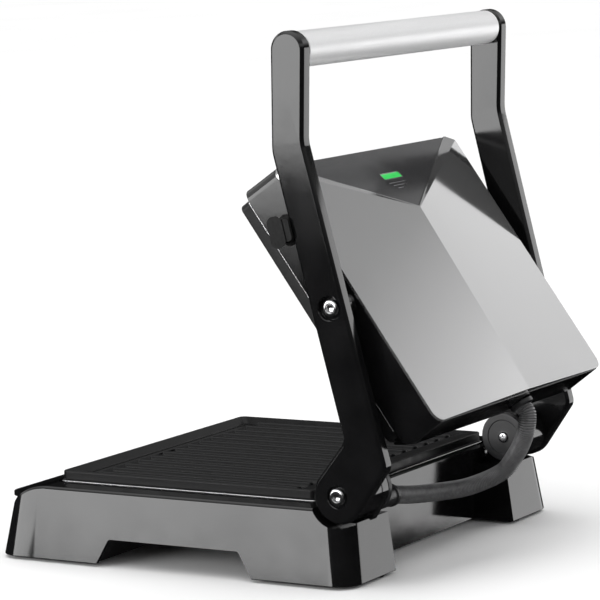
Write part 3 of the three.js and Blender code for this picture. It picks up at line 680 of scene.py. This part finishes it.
def lower_plate():
    half, front, rear, top = PLATE_HIGH.x, PLATE_LOW.y, PLATE_HIGH.y, PLATE_HIGH.z
    flange, floor, back = top - 7.3, top - PLATE_DEPTH, top - 9.9
    plate = slab("plate", rounded_box(-half, half, front, rear, 5), flange, top, 1.1)
    skirt = rounded_box(-half + 2, half - 2, front + 2, rear - 2, 4)
    join(plate, prism(skirt, PLATE_LOW.z, top - 1))
    wall = rounded_box(-half + 3, half - 3, front + 3, rear - 3, 4)
    ledge = rounded_box(-half + 5.5, half - 5.5, front + 7.5, rear - 5.5, 4)
    pocket = stack("cutter", [(inset(ledge, 0.8), floor), (inset(ledge, 0.2), floor + 0.2),
                              (ledge, floor + 0.8), (wall, top - 0.3), (inset(wall, -0.8), top + 0.5)])
    # the sloping margin behind the ribs, left standing in the pocket
    margin = [(rear - 20.5, top - 9), (rear + 1, top - 9), (rear + 1, top - 0.05), (rear - 4, top - 0.3),
              (rear - 17.5, top - 1.9), (rear - 19.3, top - 2.5), (rear - 20.5, top - 4)]
    cut(plate, cut(pocket, prism(margin, -half - 1, half + 1, "X")))
    join(plate, *rib_field(front + 24.5, rear - 20, floor - 0.5, top - RIB_DROP, STAND))
    cut(plate, box(-half + 5, half - 5, front + 5, rear - 5, PLATE_LOW.z - 1, back))
    channel = rounded_box(-half + 8, half - 8, front + 9.5, front + 20, 2.5)
    cut(plate, stack("cutter", [(inset(channel, 1.2), floor - 1.4), (channel, floor - 0.4),
                                (channel, floor + 1)]))
    cut(plate, prism(rounded_box(-9, 15, front + 11.5, front + 18, 3), PLATE_LOW.z - 2, floor + 2))
    return dress(cleaned(plate), "lower_plate_casting", "base", COATED, "lower_grill_plate")


def lower_trim():
    low, high = span("lower_trim_frame")
    outer = rounded_box(low.x, high.x, low.y, high.y, 5)
    trim = band("trim", outer, inset(outer, 2.9), low.z, high.z)
    return dress(trim, "lower_trim_bead", "base", TRIM, "lower_trim_frame")


lower_plate()
lower_trim()

# the upper plate: half its width, its length, its flange and its skirt
UPPER_HALF = 129.3
UPPER_LENGTH = 207.4
UPPER_FLANGE = 9.2
UPPER_SKIRT = 12.2


def upper_plate():
    floor, back = PLATE_DEPTH, 9.8
    half, length = UPPER_HALF, UPPER_LENGTH
    plate = slab("plate", rounded_box(-half, half, 0, length, 5), 0, UPPER_FLANGE, 1.1, place=LID)
    skirt = rounded_box(-half + 3, half - 3, 2.6, length - 2.6, 4)
    join(plate, prism(skirt, 2, UPPER_SKIRT, place=LID))
    wall = rounded_box(-half + 3, half - 3, 3, length - 3, 4)
    ledge = rounded_box(-half + 5.5, half - 5.5, 5.5, length - 5.5, 4)
    cut(plate, stack("cutter", [(inset(wall, -0.8), -0.5), (wall, 0.3), (ledge, floor - 0.8),
                                (inset(ledge, 0.2), floor - 0.2), (inset(ledge, 0.8), floor)], place=LID))
    cut(plate, box(-half + 6, half - 6, 5.6, length - 5.6, back, UPPER_SKIRT + 1, place=LID))
    join(plate, *rib_field(14, length - 14, floor + 0.5, RIB_DROP, LID))
    return dress(cleaned(plate), "upper_plate_casting", "lid", COATED, "upper_grill_plate")


def upper_trim():
    outer = rounded_box(-UPPER_HALF - 1, UPPER_HALF + 1, -0.9, UPPER_LENGTH - 0.2, 5)
    inner = rounded_box(-UPPER_HALF + 2.7, UPPER_HALF - 2.7, 2.3, UPPER_LENGTH - 2.3, 4)
    trim = band("trim", outer, inner, 9.5, 10, 0.15, LID)
    return dress(trim, "upper_trim_bead", "lid", TRIM, "upper_trim_frame")


upper_plate()
upper_trim()


# ---------- arms ----------
def splay(z):
    share = (z - LOWER_ELBOW_Z) / (UPPER_ELBOW_Z - LOWER_ELBOW_Z)
    return ARM_SPLAY * min(max(share, 0), 1)


def splayed(shape):
    """Leans the upper part of an arm outwards, with a crease line at each elbow."""
    def work(bm):
        for height in (LOWER_ELBOW_Z, UPPER_ELBOW_Z):
            bmesh.ops.bisect_plane(bm, geom=bm.verts[:] + bm.edges[:] + bm.faces[:],
                                   plane_co=(0, 0, height * MM), plane_no=(0, 0, 1))
        for vert in bm.verts:
            vert.co.x += splay(vert.co.z / MM) * MM
    edit(shape, work)
    return shape


def arm_outline():
    """Side view of an arm, anticlockwise from the tip round the handle."""
    tip = arc(HANDLE, TIP_RADIUS, 0, 180, 24)
    hub = arc(HINGE, HUB_RADIUS, 141, 324, 48)
    front = filleted([(-39.2, 390, 0), (-41.8, 317.5, 30), (-24.9, 245.3, 0)])[1:-1]
    waist = filleted([(-9.1, 177.5, 0), (7.1, 109, 9), (-2, 96, 0)])[1:-1]
    knee = filleted([(26, 69, 0), (41.6, 90.5, 9), (22.9, 166.7, 0)])[1:-1]
    rear = filleted([(3.7, 247, 0), (-14.8, UPPER_ELBOW_Z, 30), (-11.2, 390, 0)])[1:-1]
    return (tip + front + [(-24.9, 245.3), (-9.1, 177.5)] + waist + hub
            + knee + [(22.9, 166.7), (3.7, 247)] + rear)


PIVOT_FACE = ARM_OUTSIDE + splay(PIVOT[1])
HINGE_SEAT = ARM_OUTSIDE - 1.8
PIVOT_SEAT = PIVOT_FACE - 4.6
CHAMFER = [(2.5, 0), (2.0, 0.12), (0.12, 2.0), (0, 2.5)]
BORE = SHAFT_RADIUS + RUNNING_GAP
# the lock slide: half its width, and where it and its tongue begin and end across the arm
SLIDE_HALF = 6.2
SLIDE_INSIDE = 145.4
SLIDE_TONGUE = 150
SLIDE_FACE = 156.6
# inner face of the hinge caps, and the radius of a bolt's socket to its corners
CAP_FACE = 103.8
SOCKET_RADIUS = 3.15


def sink(center, radius, seat, face):
    """Cutter of a round recess with a softened mouth."""
    profile = [(seat, radius - 0.4), (seat + 0.4, radius), (face - 0.5, radius), (face, radius + 0.5),
               (face + 6, radius + 0.5)]
    return turned("cutter", profile, center)


LATCH_AT = Vector((-28.9, 262))
ALONG = Vector((0.2275, -0.9738))
FORWARD = Vector((ALONG.y, -ALONG.x))


def latch_box(f0, f1, a0, a1, radius=0):
    """Rectangle from the arm's front edge: f forwards and a along the arm."""
    corners = [LATCH_AT + FORWARD * f + ALONG * a for f, a in ((f0, a0), (f1, a0), (f1, a1), (f0, a1))]
    return filleted([(*corner, radius) for corner in corners], 4)


def arm(with_latch):
    inside = ARM_OUTSIDE - ARM_THICKNESS
    outline = arm_outline()
    layers = [(inset(outline, aside), inside + rise) for aside, rise in CHAMFER]
    layers += [(inset(outline, aside), ARM_OUTSIDE - rise) for aside, rise in reversed(CHAMFER)]
    shape = splayed(stack("arm", layers, "X"))
    cut(shape, sink(HINGE, 8.3, HINGE_SEAT, ARM_OUTSIDE), sink(PIVOT, 9, PIVOT_SEAT, PIVOT_FACE))
    for center in (HINGE, PIVOT):
        cut(shape, rod(center, BORE, inside - 5, ARM_OUTSIDE + PAST, 32))
    if with_latch:
        slot = latch_box(-16, 6, -SLIDE_HALF - RUNNING_GAP, SLIDE_HALF + RUNNING_GAP)
        cut(shape, prism(slot, SLIDE_INSIDE - 0.4, SLIDE_TONGUE + 0.4, "X"))
    return shape


def both_arms():
    left = arm(False)
    edit(left, flip_sides)
    dress(arm(True), "arm_right_bar", "arms", BLACK, "arm_right")
    dress(left, "arm_left_bar", "arms", BLACK, "arm_left")


both_arms()


def handle_tube():
    end = HANDLE_HIGH.x
    outer, inner, edge = (HANDLE_HIGH.z - HANDLE_LOW.z) / 2, 11.6, 0.4
    profile = [(-end, outer - edge), (-end + edge, outer), (end - edge, outer), (end, outer - edge),
               (end, inner + 0.2), (end - 0.2, inner), (-end + 0.2, inner), (-end, inner + 0.2)]
    tube = turned("tube", profile, HANDLE, sides=96, hollow=True)
    return dress(tube, "handle_tube_skin", "arms", ALUMINIUM, "handle_tube")


handle_tube()


def round_bar(x0, x1, radius, edge, bore):
    """Profile of a short tube with rounded edges."""
    rise = quarter(edge, 4)
    return ([(x0 + up, radius - aside) for aside, up in rise]
            + [(x1 - up, radius - aside) for aside, up in reversed(rise)]
            + [(x1, bore + 0.3), (x1 - 0.3, bore), (x0 + 0.3, bore), (x0, bore + 0.3)])


def pair(build, name, node, body, surface):
    """The right-hand piece and its mirror on the left."""
    right = build()
    left = mirrored(right)
    dress(right, f"{name}_right_part", body, surface, f"{node}_right")
    dress(left, f"{name}_left_part", body, surface, f"{node}_left")


def barrel():
    """Plain knuckle between the lug and the arm."""
    profile = round_bar(118.6, 138.2, BARREL_RADIUS, 0.8, BORE)
    return turned("barrel", profile, HINGE, hollow=True, sides=96)


def cap():
    """Hinge cap with a shallow dish round its screw."""
    profile = round_bar(CAP_FACE, 109, BARREL_RADIUS, 0.9, BORE)
    dish = [(CAP_FACE, 14), (CAP_FACE + 0.5, 13.4), (CAP_FACE + 0.5, 5.2)]
    return turned("cap", profile[:-1] + dish[::-1], HINGE, hollow=True, sides=96)


pair(barrel, "barrel", "hinge_barrel", "arms", BLACK)
pair(cap, "hinge_cap_disc", "hinge_cap", "arms", SATIN)


def bolt(center, radius, seat, head, end):
    """Button-head bolt with a hexagon socket, head outwards."""
    top = seat + head
    under = seat + RUNNING_GAP
    profile = [(end, SHAFT_RADIUS - 0.5), (end + 0.5, SHAFT_RADIUS), (under, SHAFT_RADIUS),
               (under, radius - 0.3), (under + 0.3, radius), (top - 1.2, radius), (top - 0.5, radius - 0.35),
               (top - 0.1, radius - 1.1), (top, radius - 1.8), (top, 3.9), (top - 0.3, 3.5)]
    shape = turned("bolt", profile, center)
    socket = circle(center, SOCKET_RADIUS, 6)
    cut(shape, stack("cutter", [(inset(socket, 1.2), top - 2.8), (socket, top - 2.2),
                                (socket, top - 0.25), (inset(socket, -0.4), top + 0.2)], "X"))
    return shape


pair(lambda: bolt(HINGE, 6.5, HINGE_SEAT, 3, 110),
     "hinge_bolt_body", "hinge_bolt", "arms", CHROME)
pair(lambda: bolt(PIVOT, 6.3, PIVOT_SEAT, 3.2, 124),
     "pivot_bolt_body", "pivot_bolt", "arms", CHROME)


def cap_screw():
    """Small domed screw with a cross slot, head inwards."""
    face, slot_half, slot_reach = CAP_FACE - 0.8, 0.35, 2.2
    profile = [(face, 1.2), (face + 0.1, 2.5), (face + 0.4, 3.3), (face + 0.9, 3.6), (face + 1.4, 3.6),
               (face + 1.4, 1.3), (face + 9, 1.3)]
    shape = turned("screw", profile, HINGE, sides=32)
    y, z = HINGE
    for across, up in ((slot_half, slot_reach), (slot_reach, slot_half)):
        cut(shape, box(face - 1, face + 0.9, y - across, y + across, z - up, z + up))
    return shape


pair(cap_screw, "cap_screw", "hinge_end_screw", "arms", STEEL)


# ---------- conduit ----------
SLEEVE_AT = (HINGE[0] + 7, HINGE[1] - 9.8)
CONDUIT_RADIUS = 6.9
CONDUIT_PITCH = 1.5
CONDUIT_ROUTE = [
    (84, 7.3, 57.5), (60, 8.5, 53), (28.5, 13, 49.3), (-7, 24, 48.4), (-29, 40, 57), (-31, 49, 68.5),
    (-25.5, 58.5, 80.5), (-20, 66, 94.5), (-21, 66.2, 104.2), (-21.5, 62.9, 108.9)]


def curve_points(route, step):
    """Points a step apart on a centripetal Catmull-Rom curve."""
    points = [Vector(p) for p in route]
    points = [points[0] * 2 - points[1], *points, points[-1] * 2 - points[-2]]
    fine = []
    for a, b, c, d in zip(points, points[1:], points[2:], points[3:]):
        t0 = 0.0
        t1 = t0 + (b - a).length ** 0.5
        t2 = t1 + (c - b).length ** 0.5
        t3 = t2 + (d - c).length ** 0.5
        for k in range(60):
            t = t1 + (t2 - t1) * k / 60
            ab = a.lerp(b, (t - t0) / (t1 - t0))
            bc = b.lerp(c, (t - t1) / (t2 - t1))
            cd = c.lerp(d, (t - t2) / (t3 - t2))
            fine.append(ab.lerp(bc, (t - t0) / (t2 - t0)).lerp(bc.lerp(cd, (t - t1) / (t3 - t1)),
                                                               (t - t1) / (t2 - t1)))
    fine.append(points[-2])
    spaced = [fine[0]]
    left = step
    for a, b in zip(fine, fine[1:]):
        length = (b - a).length
        along = left
        while along <= length:
            spaced.append(a.lerp(b, along / length))
            along += step
        left = along - length
    return spaced


def flexible_conduit():
    """Close-wound tube: a rounded ring for each turn along the route."""
    per_ring, sides = 6, 28
    points = curve_points(CONDUIT_ROUTE, CONDUIT_PITCH / per_ring)
    side = Vector((0, 0, 1))
    verts = []
    for i, here in enumerate(points):
        ahead = (points[min(i + 1, len(points) - 1)] - points[max(i - 1, 0)]).normalized()
        side = (side - ahead * side.dot(ahead)).normalized()
        across = ahead.cross(side)
        swell = abs(math.sin(math.pi * i / per_ring)) ** 0.6
        radius = CONDUIT_RADIUS - 1 + 0.95 * swell
        for k in range(sides):
            angle = 2 * math.pi * k / sides
            verts.append(here + side * (radius * math.cos(angle)) + across * (radius * math.sin(angle)))
    faces = []
    for i in range(len(points) - 1):
        for k in range(sides):
            a, b = i * sides + k, i * sides + (k + 1) % sides
            faces.append((a, b, b + sides, a + sides))
    faces.append(tuple(range(sides)))
    faces.append(tuple(range((len(points) - 1) * sides, len(points) * sides)))
    tube = make("conduit", verts, faces, STAND)
    dress(tube, "conduit_winding", None, CONDUIT, "flex_conduit", smooth=80)
    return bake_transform(tube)


flexible_conduit()


def sleeve():
    profile = [(85.8, 8.3), (86.2, 8.7), (88.6, 8.7), (89, 8.3), (89.2, 7.6), (103.5, 7.6), (103.5, 5)]
    shape = turned("sleeve", profile, SLEEVE_AT, sides=48)
    return dress(shape, "conduit_collar", "arms", SATIN, "conduit_sleeve")


def gland():
    face = 217.9
    profile = [(face, 9.4), (face + 2.2, 9.4), (face + 2.9, 9.0), (face + 3.2, 8.4), (face + 3.2, 7.5),
               (face + 3, 7.3), (face, 7.3)]
    shape = turned("gland", profile, GLAND_AT, axis="Y", place=LID, sides=48, hollow=True)
    return dress(shape, "conduit_gland_ring", "lid", SATIN, "conduit_gland")


sleeve()
gland()


# ---------- lock slide ----------
def slide_block(f0, f1, a, x0, x1, edge, radius):
    """Rounded block of the slide, between two distances forwards and as far up the arm as down it."""
    return slab("block", latch_box(f0, f1, -a, a, radius)[::-1], x0, x1, edge, "X")


def lock_slide():
    slide = slide_block(-9, 5.5, SLIDE_HALF, SLIDE_INSIDE, SLIDE_TONGUE, 0.3, 0.5)
    join(slide,
         slide_block(-1, 3.4, 7.1, 153.75, SLIDE_FACE, 1.2, 1.6),
         slide_block(0.4, 6.5, SLIDE_HALF, SLIDE_INSIDE, 155.2, 0.4, 0.4),
         slide_block(5.4, 13, 9, 141, 157.4, 2.6, 2.6))
    return dress(slide, "lock_slide_grip", "lock", GRIP, "lock_slide")


lock_slide()

# ---------- lid ----------
CORNER_FRONT = (123, -6, 44.4)
EDGE_FRONT = (LID_HALF, 0, 46.6)
EDGE_REAR = (LID_HALF, 217, 46.2)
APEX = (0, 55.5, 57.7)
RIDGE_REAR = (0, 217, 52.1)
PANEL_SLOPE = (APEX[2] - CORNER_FRONT[2]) / (APEX[1] - CORNER_FRONT[1])


def panel_height(u):
    """Height of the front slope above the lid's frame."""
    return CORNER_FRONT[2] + PANEL_SLOPE * (u - CORNER_FRONT[1])


def roof(drop):
    """Solid under the faceted roof: a long twisted slope either side of a ridge and a front triangle."""
    steps = 12
    front, rear, apex, ridge = (Vector(p) for p in (EDGE_FRONT, EDGE_REAR, APEX, RIDGE_REAR))

    def slope(s, t):
        return front.lerp(rear, t).lerp(apex.lerp(ridge, t), s)
    shares = [i / steps for i in range(steps + 1)]
    faces, places = [], {}

    def at(point):
        key = (round(point[0], 4), round(point[1], 4), round(point[2] - drop, 4))
        return places.setdefault(key, len(places))
    for flip in (1, -1):
        def turn(x, u, n, flip=flip):
            return (flip * x, u, n)
        corner = turn(*CORNER_FRONT)
        for s0, s1 in zip(shares, shares[1:]):
            faces.append((at(corner), at(turn(*slope(s0, 0))), at(turn(*slope(s1, 0)))))
            for t0, t1 in zip(shares, shares[1:]):
                around = ((s0, t0), (s0, t1), (s1, t1), (s1, t0))
                faces.append(tuple(at(turn(*slope(s, t))) for s, t in around))
    left = (-CORNER_FRONT[0], *CORNER_FRONT[1:])
    faces.append((at(left), at(CORNER_FRONT), at(APEX)))
    half_rim = [CORNER_FRONT] + [slope(0, t) for t in shares] + [slope(s, 1) for s in shares[1:]]
    rim = half_rim + [(-x, u, n) for x, u, n in reversed(half_rim[:-1])]
    feet = [(x, u, 26 + drop) for x, u, _ in rim]
    for i, point in enumerate(rim):
        k = (i + 1) % len(rim)
        faces.append((at(point), at(feet[i]), at(feet[k]), at(rim[k])))
    faces.append(tuple(at(point) for point in feet))
    return make("roof", list(places), faces, LID)


def panel_block(points, deep, high):
    """Prism over an outline between two depths below the front slope."""
    low_layer = [(x, u, panel_height(u) - deep) for x, u in points]
    high_layer = [(x, u, panel_height(u) - high) for x, u in points]
    count = len(points)
    faces = [tuple(range(count)), tuple(range(count, 2 * count))]
    faces += [(i, (i + 1) % count, (i + 1) % count + count, i + count) for i in range(count)]
    return make("panel", low_layer + high_layer, faces, LID)


LID_UP = (LID.to_3x3() @ Vector((0, 0, 1))).normalized()


def cover_plan(aside, low):
    """Upright block over the cover's outline, or over a smaller one."""
    half = LID_HALF - aside
    outline = rounded_box(-half, half, COVER_FRONT + aside, COVER_REAR - aside, LID_CORNER - aside, 12)
    return prism(outline, low, CUT_TOP, place=LID)


def lid_cover():
    cover = combine(roof(0), "INTERSECT", cover_plan(0, 30))
    cut(cover, combine(roof(COVER_SKIN), "INTERSECT", cover_plan(3, 20)))
    under = [(-20, 20), (240, 20), (240, 44.2), (13, 44.2), (-20, 37.1)]
    cut(cover, prism(under, -LID_HALF - PAST, LID_HALF + PAST, "X", LID))
    cleaned(cover, 0.005)

    def on_top(face):
        return face.normal.dot(LID_UP) > 0.9

    def crease(edge):
        return all(on_top(f) for f in edge.link_faces)

    def outer_rim(edge):
        return any(on_top(f) for f in edge.link_faces) and not crease(edge)
    softened(cover, 1.5, 5, 30, outer_rim)
    softened(cover, 0.5, 2, 1, crease)
    # room for the panel of the front triangle
    cut(cover, panel_block([(0, 54.4), (-128, -9), (128, -9)], 2.2, -9))
    return dress(cover, "lid_cover_shell", "lid", SILVER, "lid_cover", smooth=28)


lid_cover()

# the lamp window: its sides, and its front and rear edge
WINDOW = (-16.1, 11.1, 18.66, 24.54)


def indicator_panel():
    x0, x1, u0, u1 = WINDOW
    outline = filleted([(-121.5, -5.6, 0.8), (121.5, -5.6, 0.8), (0, 53.9, 0.8)], 3)
    panel = panel_block(outline, 1.9, 0.6)
    gap = RUNNING_GAP
    hole = rounded_box(x0 - gap, x1 + gap, u0 - gap, u1 + gap, 1.2, 4)
    cut(panel, panel_block(hole, 5, -5))
    softened(cleaned(panel), 0.3, 2, 40)
    return dress(panel, "indicator_panel_plate", "lid", PANEL, "indicator_panel")


def indicator_lens():
    lens = panel_block(rounded_box(*WINDOW, 1.0, 4), 1.9, 1.05)
    softened(lens, 0.25, 2, 40)
    return dress(lens, "indicator_lens_window", "lid", GREEN, "indicator_lens")


def lens_bezel():
    """Bright lip round the lamp window."""
    x0, x1, u0, u1 = WINDOW
    outer = rounded_box(x0 - 0.25, x1 + 0.25, u0 - 0.25, u1 + 0.25, 1.15, 4)
    inner = inset(outer, 0.55)
    verts = [(x, u, panel_height(u) - depth)
             for depth in (0.45, 1.0) for ring in (outer, inner) for x, u in ring]
    count = len(outer)
    faces = []
    for i in range(count):
        k = (i + 1) % count
        a, b, c, d = i, count + i, 2 * count + i, 3 * count + i
        e, f, g, h = k, count + k, 2 * count + k, 3 * count + k
        faces += [(a, e, f, b), (c, d, h, g), (a, c, g, e), (b, f, h, d)]
    shape = make("bezel", verts, faces, LID)
    return dress(shape, "lamp_bezel", "lid", TRIM)


def panel_marks():
    """Three dots, each at the end of a fine line, the lines shorter one after the other."""
    for number, (x, u, line_end) in enumerate([(-14.7, 28.6, 9.6), (-11.2, 31.4, 7), (-6.4, 34.2, 4)]):
        dot = panel_block(circle((x, u), 0.8, 20), 0.8, 0.45)
        dress(dot, f"panel_dot_{number + 1}", "lid", SATIN)
        line = panel_block(rounded_box(x + 1.8, line_end, u - 0.16, u + 0.16, 0.15, 2), 0.8, 0.5)
        dress(line, f"panel_line_{number + 1}", "lid", STEEL)


indicator_panel()
indicator_lens()
lens_bezel()
panel_marks()


def lid_ring(height, front, rear, aside):
    """Outline of the lid's housing, and the height it lies at."""
    half = LID_HALF - aside
    return rounded_box(-half, half, front + aside, rear - aside, LID_CORNER - aside, 12), height


def lid_housing():
    low, skin = 10.3, 2.6
    shell = stack("housing", [lid_ring(low, -6.2, 215.0, 0.5), lid_ring(low + 0.5, -6.8, 215.8, 0),
                              lid_ring(14.3, -6.6, 217.6, 0), lid_ring(43.9, -5.4, 216.8, 0)], place=LID)
    hollow = [lid_ring(low - 1, -6.8, 215.6, skin), lid_ring(46, -5.2, 216.6, skin)]
    cut(shell, stack("hollow", hollow, place=LID))
    shelf_ring, _ = lid_ring(0, -5.4, 214, 1.2)
    shelf = prism(shelf_ring, 13, 15.2, place=LID)
    cut(shelf, prism(rounded_box(-120, 120, 14, 194, 5), 12, 16, place=LID))
    lip = [(208, 0.9), (209.8, 0.9), (215.6, 10.4), (217, 13.6), (213.6, 13.6), (208, 9.3)]
    join(shell, shelf, slab("lip", lip, -124, 124, 0.3, "X", LID))
    over_front = [(-20, 60), (13.4, 60), (13.4, 43.9), (-20, 36.6)]
    cut(shell, prism(over_front, -LID_HALF - PAST, LID_HALF + PAST, "X", LID))
    bore = rod(LID_PIVOT, BORE, 118, 140, 32, LID)
    cut(shell, bore, mirrored(bore))
    hole = CONDUIT_RADIUS + 0.5
    cut(shell, turned("cutter", [(200, hole), (230, hole)], GLAND_AT, "Y", LID))
    cleaned(shell)
    softened(shell, 0.35, 2, 40)
    return dress(shell, "lid_housing_shell", "lid", BLACK, "lid_housing")


def boss():
    """Spacer round the pivot bolt, between the lid and the arm."""
    profile = round_bar(LID_HALF + 0.3, LID_HALF + 9, 11, 0.6, BORE)
    return turned("boss", profile, LID_PIVOT, place=LID, hollow=True, sides=64)


lid_housing()
pair(boss, "pivot_boss_ring", "pivot_boss", "lid", BLACK)

# ---------- nodes that keep their CAD shape ----------
KEPT = [
    (SATIN, ("base_bottom_cover", "thermostat", "handle_plug_right", "handle_plug_left")),
    (STEEL, ("lower_seat_frame", "lower_heating_element", "lower_reflector", "handle_tie_rod",
             "upper_heating_element", "upper_reflector")),
]
for (slot_name, material), node_names in KEPT:
    for node_name in node_names:
        node = frame["nodes"][node_name]
        node.data.materials.clear()
        node.data.materials.append(material)

tray_rails()


# ---------- studio ----------
def studio_floor():
    """A wide pale disc under the feet. Mirror-like reflections pass it by and meet the sky instead."""
    reach, depth = 30000, 20
    floor = turned("floor", [(-depth, reach), (0, reach)], (0, 0), axis="Z", sides=96)
    floor.data.materials.append(floor_grey())
    floor.visible_glossy = False


def softbox(name, azimuth, distance, size, low, radiance):
    """Upright panel light facing the grill, its lower edge at a height. Lengths are in metres."""
    light = bpy.data.lights.new(name, "AREA")
    light.shape = "RECTANGLE"
    light.size, light.size_y = size
    light.energy = radiance * math.pi * size[0] * size[1]
    lamp = bpy.data.objects.new(name, light)
    toward = Vector((math.cos(math.radians(azimuth)), math.sin(math.radians(azimuth)), 0))
    lamp.location = toward * distance + Vector((0, 0, low + size[1] / 2))
    lamp.rotation_mode = "QUATERNION"
    lamp.rotation_quaternion = toward.to_track_quat("Z", "Y")
    bpy.context.scene.collection.objects.link(lamp)


# brightness of the sky against the height of a direction: 0 at the horizon, 1 overhead
SKY_STOPS = [(0.0, 0.01), (0.17, 0.015), (0.28, 0.4), (0.34, 0.72), (0.41, 0.72), (0.5, 0.29),
             (0.6, 0.25), (1.0, 1.2)]
SKY_STRENGTH = 2.0
# the sky is dimmed round this direction, behind the grill as the photo shows it
SKY_BEHIND = (-0.85, -0.53, 0)
SKY_DIMMING = (("From Min", 0.74), ("From Max", 0.88), ("To Min", 1), ("To Max", 0.08))


def sky():
    """Soft surroundings: dark near the horizon, a bright band above, dimmer again, brightest overhead."""
    world = bpy.data.worlds.new("studio")
    bpy.context.scene.world = world
    world.use_nodes = True
    nodes, links = world.node_tree.nodes, world.node_tree.links
    split = nodes.new("ShaderNodeSeparateXYZ")
    ramp = nodes.new("ShaderNodeValToRGB")
    elements = ramp.color_ramp.elements
    while len(elements) < len(SKY_STOPS):
        elements.new(0.5)
    for element, (position, value) in zip(elements, SKY_STOPS):
        element.position = position
        element.color = (value, value, value, 1)
    nodes["Background"].inputs["Strength"].default_value = SKY_STRENGTH
    links.new(nodes.new("ShaderNodeTexCoord").outputs["Generated"], split.inputs["Vector"])
    links.new(split.outputs["Z"], ramp.inputs["Fac"])
    toward = nodes.new("ShaderNodeVectorMath")
    toward.operation = "DOT_PRODUCT"
    toward.inputs[1].default_value = SKY_BEHIND
    shade = nodes.new("ShaderNodeMapRange")
    for socket, value in SKY_DIMMING:
        shade.inputs[socket].default_value = value
    dimmed = nodes.new("ShaderNodeVectorMath")
    dimmed.operation = "SCALE"
    links.new(split.inputs["Vector"].links[0].from_socket, toward.inputs[0])
    links.new(toward.outputs["Value"], shade.inputs["Value"])
    links.new(ramp.outputs["Color"], dimmed.inputs[0])
    links.new(shade.outputs["Result"], dimmed.inputs["Scale"])
    links.new(dimmed.outputs["Vector"], nodes["Background"].inputs["Color"])


studio_floor()
sky()
softbox("side_softbox", -31, 4, (3.1, 1.7), -0.12, 8)
softbox("rear_softbox", 147, 1.35, (0.9, 0.76), -0.26, 3)

CAMERA_AZIMUTH = math.radians(122.255)
CAMERA_ELEVATION = math.radians(7.502)
CAMERA_ROLL = math.radians(-2.412)
CAMERA_DISTANCE = 2.338633
CAMERA_TARGET = Vector((0, HINGE_POINT.y - 0.119346, 0.187124))


def camera():
    """The photo's view: a long lens on a full-frame sensor, tilted a little."""
    lens = bpy.data.cameras.new("camera")
    lens.lens = 180
    lens.sensor_width = 36
    lens.clip_end = 100
    eye = bpy.data.objects.new("camera", lens)
    level = math.cos(CAMERA_ELEVATION)
    back = Vector((math.sin(CAMERA_AZIMUTH) * level, -math.cos(CAMERA_AZIMUTH) * level,
                   math.sin(CAMERA_ELEVATION)))
    right = (-back).cross(Vector((0, 0, 1))).normalized()
    up = right.cross(-back)
    turned_right = right * math.cos(CAMERA_ROLL) + up * math.sin(CAMERA_ROLL)
    turned_up = up * math.cos(CAMERA_ROLL) - right * math.sin(CAMERA_ROLL)
    pose = Matrix((turned_right, turned_up, back)).transposed().to_4x4()
    pose.translation = CAMERA_TARGET + back * CAMERA_DISTANCE
    eye.matrix_world = pose
    bpy.context.scene.collection.objects.link(eye)
    bpy.context.scene.camera = eye


camera()
bpy.context.scene.view_settings.view_transform = "Standard"
